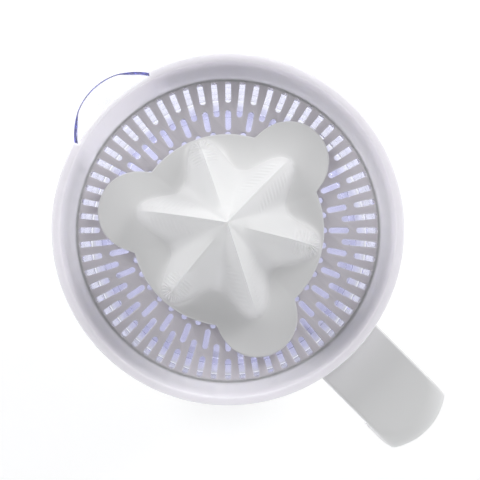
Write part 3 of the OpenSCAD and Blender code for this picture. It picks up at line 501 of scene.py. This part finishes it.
def dress_cad_nodes():
    """Every CAD node takes the material of its slot in the record, and the casing its plastic with a
    painted lighter deck.
    """
    for part in frame["record"]["subparts"]:
        mesh = frame["nodes"][part["node"]].data
        mesh.materials.clear()
        mesh.materials.append(MATERIALS[part["material_slot"]])
    frame["nodes"]["upper_housing"].data.materials[0] = CASING_PAINTED_DECK_LIGHT


# Reamer cone

def is_main(angle):
    """True where the nearest ridge is one of the three main ones."""
    return fold(angle, MAIN_STEP) < RIDGE_STEP / 2


def star_radius(angle, t):
    """Radius of the ridged star at a height share t."""
    ridge_fall = 1.5
    ridge_swell = 0.9
    valley_fall = 1.25
    softness = 1.3
    sharpen = (0.05, 0.6)
    lesser_top = 0.79
    lesser_run = 0.27
    ridge = STAR_TIP_R * (1 - t ** ridge_fall) ** ridge_swell
    valley = STAR_VALLEY_R * (1 - t ** valley_fall)
    off_crest = fold(angle, RIDGE_STEP)
    soft = ((1 + np.cos(np.radians(360 / RIDGE_STEP * off_crest))) / 2) ** softness
    sharp = (1 - off_crest / (RIDGE_STEP / 2)) ** 2
    share = smooth_step(t, *sharpen)
    crest = soft * (1 - share) + sharp * share
    lesser = np.clip((lesser_top - t) / lesser_run, 0, 1)
    return valley + (ridge - valley) * crest * np.where(is_main(angle), 1, lesser)


def flange_edge(angle):
    """Edge of the flange: a disc with a round lobe under each main ridge."""
    blend = 24
    off_lobe = np.radians(fold(angle, MAIN_STEP))
    side = LOBE_OFF * np.sin(off_lobe)
    lobe = LOBE_OFF * np.cos(off_lobe) + np.sqrt(np.maximum(LOBE_R ** 2 - side ** 2, 0))
    lobe = np.where(side < LOBE_R, lobe, 0)
    return (FLANGE_R ** blend + lobe ** blend) ** (1 / blend)


def surface_normals(points):
    """Outward normals of a grid of points whose columns go round."""
    along = np.gradient(points, axis=0)
    across = np.roll(points, -1, axis=1) - np.roll(points, 1, axis=1)
    normal = np.cross(across, along)
    return normal / np.maximum(np.linalg.norm(normal, axis=-1, keepdims=True), TINY)


def cone_ribs(angle, t, radius):
    """Height of the feather-like ribs: a fan round each lesser ridge's toe, rows on the main flanks."""
    pitch = 1.5
    fan_height = 0.42
    fan_r = 38.0
    fan_bend_r = 5
    fan_start = (-9, -4)
    fan_middle = (0.4, 1.6)
    fan_end = (4.5, 7)
    row_height = 0.2
    row_pitch = 1.4 * pitch
    row_slant = 0.6
    row_start = (1.5, 3)
    row_end = (6, 8)
    row_foot = (0.16, 0.24)
    row_top = (0.5, 0.6)
    turn = np.radians(fold(angle, RIDGE_STEP))
    along = radius * np.cos(turn) - fan_r
    aside = radius * np.sin(turn)
    beyond = np.maximum(along, 0)
    reach = np.hypot(beyond, aside)
    spread = np.minimum(along, 0) + fan_bend_r * np.arctan2(beyond, aside)
    fan = fan_height * smooth_step(along, *fan_start) * smooth_step(reach, *fan_middle)
    fan = fan * (1 - smooth_step(reach, *fan_end))
    rows = row_height * smooth_step(aside, *row_start) * (1 - smooth_step(aside, *row_end))
    rows = rows * smooth_step(t, *row_foot) * (1 - smooth_step(t, *row_top))
    phase = np.where(is_main(angle), (along + row_slant * aside) / row_pitch, spread / pitch)
    wave = 0.5 + 0.5 * np.cos(2 * math.pi * phase)
    return wave * np.where(is_main(angle), rows, fan)


def cone_columns():
    """Angles round the cone, closer at the ribbed toes of the lesser ridges."""
    coarse = 0.6
    fine = 0.24
    toe_low = 50
    toe_high = 70
    third = np.concatenate([
        np.arange(0, toe_low, coarse),
        np.arange(toe_low, toe_high, fine),
        np.arange(toe_high, MAIN_STEP, coarse),
    ])
    return np.concatenate([third + i * MAIN_STEP for i in range(3)])


def cone_skin(angle, edge):
    """Points of the upper skin, from the flange's edge to just under the cone's point."""
    edge_round = 0.7
    edge_rows = 7
    dish_rows = 22
    star_rows = 210
    crowding = 0.9
    fillet_rows = 6
    fillet_passes = 8
    level = 0 * angle
    bend = np.radians(np.linspace(0, 90, edge_rows))[:, None]
    edge_r = edge - edge_round * (1 - np.cos(bend))
    edge_z = STAR_Z - edge_round * (1 - np.sin(bend)) + level
    foot = star_radius(angle, np.zeros((1, 1)))
    share = np.linspace(1, 0, dish_rows)[:, None]
    dish_r = foot + (edge - edge_round - foot) * share
    dish_z = STAR_Z + DISH_RISE * (1 - share) ** 2 + level
    star_low = DISH_RISE / CONE_H
    t = (star_low + (1 - star_low) * np.linspace(0, 1, star_rows) ** crowding)[:-1, None]
    radius = np.concatenate([edge_r, dish_r[1:], star_radius(angle, t)])
    height = np.concatenate([edge_z, dish_z[1:], STAR_Z + CONE_H * t + level])

    # Hollow fillet where the star stands on the flange
    joint = len(edge_r) + len(dish_r) - 1
    near = slice(joint - fillet_rows, joint + fillet_rows)
    before = slice(near.start - 1, near.stop - 1)
    after = slice(near.start + 1, near.stop + 1)
    for _ in range(fillet_passes):
        for rows in (radius, height):
            rows[near] = (rows[before] + 2 * rows[near] + rows[after]) / 4

    skin = spun(radius, height, angle + CONE_TURN).reshape(*radius.shape, 3)
    rib = np.zeros(radius.shape)
    rib[joint:] = cone_ribs(angle, (height[joint:] - STAR_Z) / CONE_H, radius[joint:])
    return skin + surface_normals(skin) * rib[..., None]


def cone_underside(angle, edge):
    """Points of the keyed bore, the hub, the hollow inside and the flange's underside."""
    bevel = 0.5
    inner_rows = 14
    hex_step = 60
    half_hex = hex_step / 2
    level = 0 * angle
    off_side = np.radians(fold(angle + CONE_TURN - half_hex, hex_step))
    hex_r = HUB_HEX_R * (math.cos(math.radians(half_hex)) / np.cos(off_side))
    inner_t = np.linspace(INNER_TOP, 0, inner_rows)[:, None]
    inner_r = star_radius(angle, inner_t) - CONE_WALL
    inner_z = STAR_Z + CONE_H * inner_t + level
    inner_z[-1] = FLANGE_Z
    rows = [
        (hex_r, HUB_BORE_TOP),
        (hex_r, HUB_Z),
        (HUB_R - bevel, HUB_Z),
        (HUB_R, HUB_Z + bevel),
        (HUB_R, STAR_Z + CONE_H * INNER_TOP),
        (inner_r, inner_z),
        (edge - bevel, FLANGE_Z),
        (edge, FLANGE_Z + bevel),
    ]
    radius = np.concatenate([r + level for r, z in rows])
    height = np.concatenate([z + level for r, z in rows])
    return spun(radius, height, angle + CONE_TURN)


def build_cone():
    """Ridged cone on its lobed flange, hollow below, with a keyed hub."""
    angle = cone_columns()[None, :]
    columns = angle.size
    edge = flange_edge(angle)
    skin = cone_skin(angle, edge).reshape(-1, 3)
    ends = [[0, 0, HUB_BORE_TOP], [0, 0, CONE_TOP]]
    points = np.concatenate([cone_underside(angle, edge), skin, ends])
    bore_end = len(points) - 2
    tip = len(points) - 1
    rows = bore_end // columns
    top_row = (rows - 1) * columns
    faces = grid_faces(rows, columns)
    for i in range(columns):
        k = (i + 1) % columns
        faces.append((bore_end, k, i))
        faces.append((tip, top_row + i, top_row + k))
    piece = new_mesh("reamer_cone", points, faces, sharp_angle=50)
    dress(piece, "pressing_cone", "cone", MATERIALS["white_plastic"])


# Strainer

def inner_wall_r(z):
    """Inside radius of the bowl at a height."""
    slope = (RIM_INNER_R - BOWL_FLOOR_R) / (RIM_TOP - RIM_LAND - DISC_TOP)
    return BOWL_FLOOR_R + slope * (z - DISC_TOP)


def outer_wall_r(z):
    """Outside radius of the bowl at a height."""
    slope = (SKIRT_IN_R - WALL_INSET - BOWL_FLOOR_R) / (RIM_TOP - RIM_LAND - DISC_TOP)
    return BOWL_FLOOR_R + BOWL_WALL + slope * (z - DISC_TOP)


def rim_outline(notched, skirt_low):
    """Section of the bowl wall and rim, with or without its outer lip and skirt."""
    ledge_z = RIM_LOW[2]
    ledge_r = DISC_R - LEDGE_W
    gap_r = SKIRT_IN_R - FIT_GAP / 2
    notch_z = RIM_TOP - LIP_NOTCH
    flap_r = BOWL_FLOOR_R - FLAP_W
    flap_z = (DISC_TOP + DISC_LOW_Z) / 2
    flap_lift = 0.03
    floor_lift = 0.05
    floor_step = 0.1
    skirt = [
        (SKIRT_IN_R, SEAT_Z, 0.3),
        (SKIRT_IN_R, skirt_low, 0.4),
        (RIM_R, skirt_low, 0.5),
        (RIM_R, RIM_TOP, 0.5),
        (RIM_INNER_R, RIM_TOP, 0.9),
    ]

    # As many corners as the skirt has, so that the points of both sections pair up
    bare = [
        (gap_r, SEAT_Z, 0.2),
        (gap_r, SEAT_Z + 0.5, 0.2),
        (gap_r, SEAT_Z + 1, 0.2),
        (gap_r, notch_z, 0.35),
        (inner_wall_r(notch_z), notch_z, 0.35),
    ]
    return rounded([
        (ledge_r, ledge_z, 0.3),
        (outer_wall_r(ledge_z), ledge_z, 0.6),
        (outer_wall_r(SEAT_Z), SEAT_Z, 0.3),
        *(bare if notched else skirt),
        (BOWL_FLOOR_R + floor_step, DISC_TOP + floor_lift, 3),
        (flap_r, DISC_TOP + flap_lift, 0.02),
        (flap_r, flap_z, 0.02),
        (BOWL_FLOOR_R, flap_z, 0.02),
        (BOWL_FLOOR_R, DISC_LOW_Z, 0.2),
        (ledge_r, DISC_LOW_Z, 0.2),
    ])


def rim_columns(ends, step):
    """Angles round the rim, closer where its lip and its skirt end."""
    pitch = 0.5
    crowd = 6
    angles = np.arange(0, 360, pitch)
    for end in ends:
        angles = angles[np.abs(np.abs(angles - SPOUT_AT) - end - step / 2) > step]
        close = np.linspace(end, end + step, crowd)
        angles = np.sort(np.concatenate([angles, SPOUT_AT - close, SPOUT_AT + close]))
    return angles


def build_rim():
    """Rim whose outer lip and, a little wider, whose skirt are cut away for the pouring lip."""
    step = 0.4
    ramp = 3.0
    stub = 0.2
    inner_corner = 7
    whole = rim_outline(False, SKIRT_LOW)
    short = rim_outline(False, SEAT_Z - stub)
    notched = rim_outline(True, SEAT_Z)
    reach = (SKIRT_IN_R ** 2 + SPOUT_X ** 2 - SPOUT_R ** 2) / (2 * SKIRT_IN_R * SPOUT_X)
    skirt_half = math.degrees(math.acos(reach) + 2 * FIT_GAP / SKIRT_IN_R)
    angles = rim_columns((LIP_HALF, skirt_half), step)
    off_lip = np.abs(angles - SPOUT_AT)
    bare = np.tile(1 - smooth_step(off_lip, LIP_HALF, LIP_HALF + step), (len(whole), 1))
    bend_rows = BEND_STEPS + 1
    inner_top = slice(inner_corner * bend_rows, (inner_corner + 1) * bend_rows)
    bare[inner_top] = 1 - smooth_step(off_lip, LIP_HALF - ramp, LIP_HALF + ramp)
    full = smooth_step(off_lip, skirt_half, skirt_half + step)
    section = (short[:, None] + (whole - short)[:, None] * full[None, :, None]
               + (notched - short)[:, None] * bare[..., None])
    points = spun(section[..., 0], section[..., 1], angles)
    faces = grid_faces(*section.shape[:2], closed_rows=True)
    piece = new_mesh("bowl_rim", points, faces, sharp_angle=35)
    dress(piece, "strainer_rim", "strainer", RIM_PLASTIC)


def slot_points(outer, length, angle):
    """Outline of one drain slot with round ends."""
    end_points = 9
    half = SLOT_W / 2
    turn = np.radians(np.linspace(-90, 90, end_points))
    far = np.stack([outer - half + half * np.cos(turn), half * np.sin(turn)], axis=-1)
    near = np.stack([outer - length + half - half * np.cos(turn), -half * np.sin(turn)], axis=-1)
    outline = np.concatenate([far, near])
    c = math.cos(angle)
    s = math.sin(angle)
    return outline @ np.array([[c, s], [-s, c]])


def sieve_outlines():
    """Edge, middle hole and drain slots of the sieve."""
    edge_points = 256
    seam = 0.02
    turn = np.radians(np.arange(edge_points) * 360 / edge_points)
    circle = np.stack([np.cos(turn), np.sin(turn)], axis=-1)
    outlines = [(BOWL_FLOOR_R - seam) * circle, DISC_HOLE_R * circle[::4]]
    for count, share, outer, length in SLOT_ROWS:
        for i in range(count):
            outlines.append(slot_points(outer, length, 2 * math.pi * (i + share) / count))
    return outlines


def sieve_mesh():
    """Filled, thickened and bevelled mesh of the sieve's outlines, in millimetres."""
    bevel = 0.25
    weld = 1e-4
    curve = bpy.data.curves.new("sieve_plate", "CURVE")
    curve.dimensions = "2D"
    curve.fill_mode = "BOTH"
    for outline in sieve_outlines():
        spline = curve.splines.new("POLY")
        spline.points.add(len(outline) - 1)
        spline.use_cyclic_u = True
        places = np.zeros((len(outline), 4))
        places[:, :2] = outline
        places[:, 3] = 1
        spline.points.foreach_set("co", places.ravel())
    curve.bevel_depth = bevel
    curve.bevel_resolution = 2
    curve.offset = -bevel
    curve.extrude = (DISC_TOP - DISC_LOW_Z) / 2 - bevel
    carrier = bpy.data.objects.new("sieve_plate", curve)
    bpy.context.scene.collection.objects.link(carrier)
    depsgraph = bpy.context.evaluated_depsgraph_get()
    mesh = bpy.data.meshes.new_from_object(carrier.evaluated_get(depsgraph))
    bpy.data.objects.remove(carrier)
    work = bmesh.new()
    work.from_mesh(mesh)
    bmesh.ops.remove_doubles(work, verts=work.verts, dist=weld)
    bmesh.ops.recalc_face_normals(work, faces=work.faces)
    work.to_mesh(mesh)
    work.free()
    return mesh


def build_disc():
    """Slotted sieve plate, flush with the bowl's floor."""
    mesh = sieve_mesh()
    middle = Vector((AXIS_X, 0, (DISC_TOP + DISC_LOW_Z) / 2))
    mesh.transform(Matrix.Scale(MM, 4) @ Matrix.Translation(middle))
    finish_shading(mesh, sharp_angle=40)
    piece = bpy.data.objects.new("sieve_plate", mesh)
    bpy.context.scene.collection.objects.link(piece)
    dress(piece, "strainer_disc", "strainer", SIEVE_PAINTED_SHADE_PLASTIC)


# Jug

def smooth_max(first, second, blend):
    """The larger of two values, with a soft change from one to the other."""
    gap = np.maximum(blend - np.abs(first - second), 0) / blend
    return np.maximum(first, second) + gap * gap * blend / 4


def jug_wall_r(height, inset, angles):
    """Radius of the jug's wall, pouring lip included, drawn in by an inset."""
    cup = JUG_FLOOR_R + JUG_SLOPE * (height - JUG_FLOOR_Z) - inset
    share = (height - SPOUT_FOOT_Z) / (JUG_RIM_Z - SPOUT_FOOT_Z)
    centre = SPOUT_FOOT_X + (SPOUT_X - SPOUT_FOOT_X) * share
    radius = SPOUT_FOOT_R + (SPOUT_R - SPOUT_FOOT_R) * share - inset
    off = np.radians(angles - SPOUT_AT)
    side = centre * np.sin(off)
    inside = (share > 0) & (np.abs(side) < radius) & (np.cos(off) > 0)
    lip = centre * np.cos(off) + np.sqrt(np.maximum(radius ** 2 - side ** 2, 0))
    lip = np.where(inside, lip, 0)
    return smooth_max(cup, lip, SPOUT_BLEND)


def jug_edge(angles):
    """Thickness of the jug's edge, thinner in the middle of the pouring lip."""
    off_lip = np.abs(angles - SPOUT_AT)
    return LIP_EDGE_T + (JUG_EDGE_T - LIP_EDGE_T) * smooth_step(off_lip, *LIP_EDGE_SPAN)


def jug_columns():
    """Angles round the jug, closer at the pouring lip."""
    coarse = 1.5
    fine = 0.5
    lip_low = 150
    lip_high = 210
    return np.concatenate([
        np.arange(0, lip_low, coarse),
        np.arange(lip_low, lip_high, fine),
        np.arange(lip_high, 360, coarse),
    ])


def fixed_rows(corners, angles):
    """Rows of the same radius all round, from an open outline."""
    outline = rounded(corners, closed=False)
    radius = outline[:, :1] + 0 * angles
    height = outline[:, 1:] + 0 * angles
    return radius, height


def wall_rows(heights, inset, angles):
    """Rows of the wall at given heights, drawn in by an inset."""
    heights = heights[:, None]
    return jug_wall_r(heights, inset, angles), heights + 0 * angles


def jug_below(angles):
    """Rows of the jug's underside, from the chimney's foot to the start of the outer wall."""
    trim = 0.1
    return fixed_rows([
        (CHIMNEY_FOOT_R - CHIMNEY_WALL, JUG_FLOOR_Z, 0),
        (FOOT_RING[0], JUG_FLOOR_Z, 0.3),
        (FOOT_RING[0], JUG_FOOT_Z, 0.4),
        (FOOT_RING[1], JUG_FOOT_Z, 0.4),
        (FOOT_RING[1], JUG_FLOOR_Z, 0.3),
        (JUG_FLOOR_R - trim, JUG_FLOOR_Z, JUG_CORNER_R - trim),
        (JUG_FLOOR_R + JUG_SLOPE * JUG_CORNER_R, JUG_FLOOR_Z + JUG_CORNER_R, 0),
    ], angles)


def jug_within(angles, floor_z, corner_r):
    """Rows from the foot of the inner wall over the floor, up the chimney and down its bore."""
    trim = 0.1
    seam = 0.01
    seam_rise = 0.3
    wall_r = JUG_FLOOR_R + JUG_SLOPE * (floor_z + corner_r - JUG_FLOOR_Z) - JUG_WALL
    chimney_slope = (CHIMNEY_FOOT_R - CHIMNEY_TOP_R) / (CHIMNEY_TOP - JUG_FLOOR_Z)
    guide_r = CHIMNEY_TOP_R + chimney_slope * (CHIMNEY_TOP - GUIDE_Z)
    return fixed_rows([
        (wall_r, floor_z + corner_r, 0),
        (JUG_FLOOR_R - JUG_WALL, floor_z, corner_r - trim),
        (CHIMNEY_FOOT_R - trim, floor_z, 2.5),
        (CHIMNEY_TOP_R, CHIMNEY_TOP, 0.5),
        (GUIDE_R, CHIMNEY_TOP, 0.4),
        (GUIDE_R, GUIDE_Z, 0.3),
        (guide_r - CHIMNEY_WALL, GUIDE_Z, 0.3),
        (CHIMNEY_FOOT_R - CHIMNEY_WALL + seam, JUG_FLOOR_Z + seam_rise, 0),
    ], angles)


def jug_rows(angles):
    """Rows of the whole skin: below, up the outside, over the edge, down the inside and the chimney."""
    plain_rows = 12
    lip_rows = 45
    edge_rows = 9
    row_gap = 0.3
    inner_step = 1
    inner_floor = JUG_FLOOR_Z + JUG_FLOOR_T
    inner_corner = JUG_CORNER_R - inner_step
    plain_heights = np.linspace(JUG_FLOOR_Z + JUG_CORNER_R, SPOUT_FOOT_Z, plain_rows)
    lip_heights = np.linspace(SPOUT_FOOT_Z, JUG_RIM_Z - JUG_WALL / 2, lip_rows)
    heights = np.concatenate([plain_heights, lip_heights[1:]])
    edge = jug_edge(angles)
    bend = np.radians(np.linspace(0, 180, edge_rows)[1:-1])[:, None]
    edge_z = JUG_RIM_Z - (1 - np.sin(bend)) * edge / 2
    edge_r = jug_wall_r(edge_z, edge * (1 - np.cos(bend)) / 2, angles)
    inside_heights = heights[heights > inner_floor + inner_corner + row_gap][::-1]
    taper = smooth_step(inside_heights, SPOUT_FOOT_Z, JUG_RIM_Z)[:, None]
    parts = [
        jug_below(angles),
        wall_rows(heights[1:], 0, angles),
        (edge_r, edge_z),
        wall_rows(inside_heights, JUG_WALL + (edge - JUG_WALL) * taper, angles),
        jug_within(angles, inner_floor, inner_corner),
    ]
    return np.concatenate([p[0] for p in parts]), np.concatenate([p[1] for p in parts])


def build_jug():
    """Clear jug with its handle tongue and the tongue's two screw holes."""
    over = 1
    angles = jug_columns()
    radius, height = jug_rows(angles)
    points = spun(radius, height, angles)
    faces = grid_faces(*radius.shape, closed_rows=True)
    piece = new_mesh("clear_jug", points, faces, sharp_angle=35)
    tongue_low = (JUG_R - TONGUE_LAP, -TONGUE_HALF, TONGUE_Z[0])
    tongue_high = (TONGUE_END, TONGUE_HALF, TONGUE_Z[1])
    apply_boolean(piece, [block("tongue", tongue_low, tongue_high)], "UNION")
    cuts = []
    for place in SCREW_PLACES:
        cuts.append(rod("screw_hole", place, SCREW_HOLE_R, TONGUE_Z[0] - over, TONGUE_Z[1] + over))
    apply_boolean(piece, cuts, "DIFFERENCE")
    finish_shading(piece.data, sharp_angle=35)
    dress(piece, "jug", "jug", MATERIALS["clear_blue_plastic"])


# Handle

def handle_point(y, depth, run):
    """Point of the handle at a side place, a depth below its skin and a place along its run."""
    flat_r = HANDLE_END_R - HANDLE_BEND_R
    root_x = np.sqrt(HANDLE_ROOT_R ** 2 - y ** 2)
    bend_x = HANDLE_X + np.sqrt(flat_r ** 2 - y ** 2)
    if run < 1:
        return root_x + (bend_x - root_x) * run, y, HANDLE_TOP - depth
    turn = math.radians(90 * min(run - 1, 1))
    ring = flat_r + (HANDLE_BEND_R - depth) * math.sin(turn)
    z = HANDLE_TOP - HANDLE_BEND_R + (HANDLE_BEND_R - depth) * math.cos(turn)
    if run > 2:
        z = z - (run - 2) * (HANDLE_TOP - HANDLE_BEND_R - HANDLE_FOOT)
    return HANDLE_X + np.sqrt(ring ** 2 - y ** 2), y, z


def handle_line(half, skin, bend):
    """Open channel outline from one lower edge over the top to the other, its long sides divided."""
    bend_steps = 8
    long_side = 6
    long_steps = 20
    corners = [(-half, HANDLE_DEPTH, 0), (-half, skin, bend), (half, skin, bend), (half, HANDLE_DEPTH, 0)]
    line = rounded(corners, closed=False, steps=bend_steps)
    fine = []
    for start, end in zip(line[:-1], line[1:]):
        count = long_steps if np.linalg.norm(end - start) > long_side else 1
        for k in range(count):
            fine.append(start + (end - start) * k / count)
    fine.append(line[-1])
    return np.array(fine)


def handle_inserts():
    """Ribs and screw bosses under the handle."""
    lap = 0.5
    rib_top = HANDLE_TOP - 1
    half = HANDLE_W / 2 - HANDLE_T + lap
    inserts = []
    x = TONGUE_END + RIB_T
    while x <= HANDLE_X + RIB_END:
        low = (x, -half, HANDLE_TOP - HANDLE_DEPTH)
        inserts.append(block("rib", low, (x + RIB_T, half, rib_top)))
        x += RIB_PITCH
    for place in SCREW_PLACES:
        inserts.append(rod("boss", place, BOSS_R, TONGUE_Z[1] + BOSS_GAP, HANDLE_TOP - HANDLE_T + lap))
    return inserts


def build_handle():
    """Flat channel that runs out from the rim and bends down at its round end."""
    straight_rows = 12
    bend_rows = 22
    half = HANDLE_W / 2
    outer = handle_line(half, 0, HANDLE_EDGE)
    inner = handle_line(half - HANDLE_T, HANDLE_T, HANDLE_INNER_EDGE)
    section = np.concatenate([outer, inner[::-1]])
    runs = np.concatenate([
        np.linspace(0, 1, straight_rows)[:-1],
        np.linspace(1, 2, bend_rows),
        np.linspace(2, 3, straight_rows)[1:],
    ])
    rows = []
    for run in runs:
        x, y, z = handle_point(section[:, 0], section[:, 1], run)
        rows.append(np.stack([x, y, z + 0 * y], axis=-1))
    count = len(section)
    faces = [face[::-1] for face in grid_faces(len(runs), count)]
    last = (len(runs) - 1) * count
    for k in range(len(outer) - 1):
        mate = count - 1 - k
        faces.append((k, k + 1, mate - 1, mate))
        faces.append((last + mate, last + mate - 1, last + k + 1, last + k))
    piece = new_mesh("grip", np.concatenate(rows), faces, sharp_angle=35)
    apply_boolean(piece, handle_inserts(), "UNION")
    finish_shading(piece.data, sharp_angle=35)
    dress(piece, "jug_handle", "jug", MATERIALS["white_plastic"])


# Return spring

def build_spring():
    """Wound wire of the return spring round the drive axle, riding on the base."""
    turn_steps = 48
    sides = 12
    steps = SPRING_TURNS * turn_steps
    low = SPRING_LOW[2] + WIRE_R
    high = SPRING_HIGH[2] - WIRE_R
    share = np.arange(steps + 1) / steps
    turn = 2 * math.pi * SPRING_TURNS * share
    height = low + (high - low) * share
    middle = np.stack([SPRING_R * np.cos(turn), SPRING_R * np.sin(turn), height], axis=-1)
    out = np.stack([np.cos(turn), np.sin(turn), 0 * turn], axis=-1)
    round_wire = 2 * math.pi * np.arange(sides) / sides
    wire = (middle[:, None, :] + WIRE_R * np.cos(round_wire)[None, :, None] * out[:, None, :]
            + WIRE_R * np.sin(round_wire)[None, :, None] * np.array([0, 0, 1]))
    faces = grid_faces(steps + 1, sides)
    faces.append(list(range(sides))[::-1])
    faces.append([steps * sides + i for i in range(sides)])
    piece = new_mesh("wound_spring", wire.reshape(-1, 3), faces, sharp_angle=50)
    dress(piece, "return_spring", "base", MATERIALS["steel"])
    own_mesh(piece)


# Studio

def camera_share(tree):
    """Socket that is 1 for rays that show the backdrop itself: seen, mirrored or through the jug."""
    path = add_node(tree, "ShaderNodeLightPath")
    first = add_node(tree, "ShaderNodeMath", operation="MAXIMUM")
    second = add_node(tree, "ShaderNodeMath", operation="MAXIMUM")
    tree.links.new(path.outputs["Is Camera Ray"], first.inputs[0])
    tree.links.new(path.outputs["Is Glossy Ray"], first.inputs[1])
    tree.links.new(first.outputs[0], second.inputs[0])
    tree.links.new(path.outputs["Is Transmission Ray"], second.inputs[1])
    return second.outputs[0]


def build_world():
    """Soft tent: darker overhead than at the horizon, and plain white where it is seen."""
    overhead = 0.32
    horizon = 2.4
    fall_power = 5
    world = bpy.data.worlds.new("studio")
    world.use_nodes = True
    tree = world.node_tree
    tree.nodes.clear()
    place = add_node(tree, "ShaderNodeTexCoord")
    split = add_node(tree, "ShaderNodeSeparateXYZ")
    tree.links.new(place.outputs["Generated"], split.inputs[0])
    low = add_node(tree, "ShaderNodeMath", operation="SUBTRACT", use_clamp=True)
    low.inputs[0].default_value = 1
    tree.links.new(split.outputs["Z"], low.inputs[1])
    fall = add_node(tree, "ShaderNodeMath", operation="POWER")
    fall.inputs[1].default_value = fall_power
    tree.links.new(low.outputs[0], fall.inputs[0])
    span = add_node(tree, "ShaderNodeMapRange")
    span.inputs["To Min"].default_value = overhead
    span.inputs["To Max"].default_value = horizon
    tree.links.new(fall.outputs[0], span.inputs["Value"])
    light = add_node(tree, "ShaderNodeBackground", Color=(0.97, 0.98, 1.0, 1))
    tree.links.new(span.outputs["Result"], light.inputs["Strength"])
    seen = add_node(tree, "ShaderNodeBackground", Color=(1, 1, 1, 1), Strength=1.0)
    mix = add_node(tree, "ShaderNodeMixShader")
    tree.links.new(camera_share(tree), mix.inputs[0])
    tree.links.new(light.outputs[0], mix.inputs[1])
    tree.links.new(seen.outputs[0], mix.inputs[2])
    output = add_node(tree, "ShaderNodeOutputWorld")
    tree.links.new(mix.outputs[0], output.inputs["Surface"])
    bpy.context.scene.world = world


def build_floor():
    """Plain white floor that keeps the object's soft shadow and glows a little more far away."""
    half = 4.0
    shade = 0.65
    near = 0.25
    far = 0.8
    near_glow = 0.54
    far_glow = 0.68
    corners = [(-half, -half, 0), (half, -half, 0), (half, half, 0), (-half, half, 0)]
    mesh = bpy.data.meshes.new("floor")
    mesh.from_pydata(corners, [], [(0, 1, 2, 3)])
    floor = bpy.data.objects.new("floor", mesh)
    bpy.context.scene.collection.objects.link(floor)
    material = bpy.data.materials.new("floor")
    material.use_nodes = True
    tree = material.node_tree
    tree.nodes.clear()
    paper = add_node(tree, "ShaderNodeBsdfDiffuse", Color=(shade, shade, shade, 1))
    lit = add_node(tree, "ShaderNodeEmission", Color=(1, 1, 1, 1))
    away = add_node(tree, "ShaderNodeVectorMath", operation="LENGTH")
    tree.links.new(place_node(tree), away.inputs[0])
    span = add_node(tree, "ShaderNodeMapRange")
    span.inputs["From Min"].default_value = near
    span.inputs["From Max"].default_value = far
    span.inputs["To Min"].default_value = near_glow
    span.inputs["To Max"].default_value = far_glow
    tree.links.new(away.outputs["Value"], span.inputs["Value"])
    share = add_node(tree, "ShaderNodeMath", operation="MULTIPLY")
    tree.links.new(span.outputs["Result"], share.inputs[1])
    tree.links.new(camera_share(tree), share.inputs[0])
    tree.links.new(share.outputs[0], lit.inputs["Strength"])
    both = add_node(tree, "ShaderNodeAddShader")
    tree.links.new(paper.outputs[0], both.inputs[0])
    tree.links.new(lit.outputs[0], both.inputs[1])
    output = add_node(tree, "ShaderNodeOutputMaterial")
    tree.links.new(both.outputs[0], output.inputs["Surface"])
    mesh.materials.append(material)


IMAGE_RIGHT = Vector((1, 1, 0)).normalized()
IMAGE_UP = Vector((-1, 1, 0)).normalized()


def build_lamp(name, bearing, energy):
    """Large soft lamp at a bearing round the picture, low above the part."""
    turn = math.radians(bearing)
    elevation = math.radians(22)
    distance = 1.6
    width = 1.0
    level = IMAGE_RIGHT * math.cos(turn) + IMAGE_UP * math.sin(turn)
    direction = level * math.cos(elevation) + Vector((0, 0, math.sin(elevation)))
    light = bpy.data.lights.new(name, "AREA")
    light.shape = "DISK"
    light.size = width
    light.energy = energy
    lamp = bpy.data.objects.new(name, light)
    bpy.context.scene.collection.objects.link(lamp)
    target = Vector((AXIS_X, 0, RIM_TOP)) * MM
    lamp.location = target + direction * distance
    lamp.rotation_euler = (-direction).to_track_quat("-Z", "Y").to_euler()


def build_camera():
    """Long lens almost straight above, tipped a little towards the picture's lower edge."""
    elevation = math.radians(86.9)
    distance = 0.95
    aim_right = 5.63
    aim_down = 5.41
    sensor = 36.0
    field = 224.2
    back = -IMAGE_UP * math.cos(elevation) + Vector((0, 0, math.sin(elevation)))
    aim = Vector((AXIS_X, 0, RIM_TOP)) + IMAGE_RIGHT * aim_right - IMAGE_UP * aim_down
    camera = bpy.data.cameras.new("camera")
    camera.sensor_width = sensor
    camera.lens = sensor * distance / (field * MM)
    camera.dof.use_dof = False
    holder = bpy.data.objects.new("camera", camera)
    bpy.context.scene.collection.objects.link(holder)
    top = back.cross(IMAGE_RIGHT)
    turn = Matrix((IMAGE_RIGHT, top, back)).transposed().to_4x4()
    holder.matrix_world = Matrix.Translation(aim * MM + back * distance) @ turn
    bpy.context.scene.camera = holder


def set_view():
    """Plain view transform, and enough bounces for light that runs inside the jug's wall."""
    bounces = 48
    scene = bpy.context.scene
    scene.view_settings.view_transform = "Standard"
    scene.cycles.max_bounces = bounces
    scene.cycles.glossy_bounces = bounces
    scene.cycles.transmission_bounces = bounces


dress_cad_nodes()
build_cone()
build_rim()
build_disc()
build_jug()
build_handle()
build_spring()
build_world()
build_floor()
build_lamp("key", bearing=42, energy=13.8)
build_lamp("fill", bearing=138, energy=11.8)
build_lamp("front", bearing=270, energy=5.5)
build_camera()
set_view()
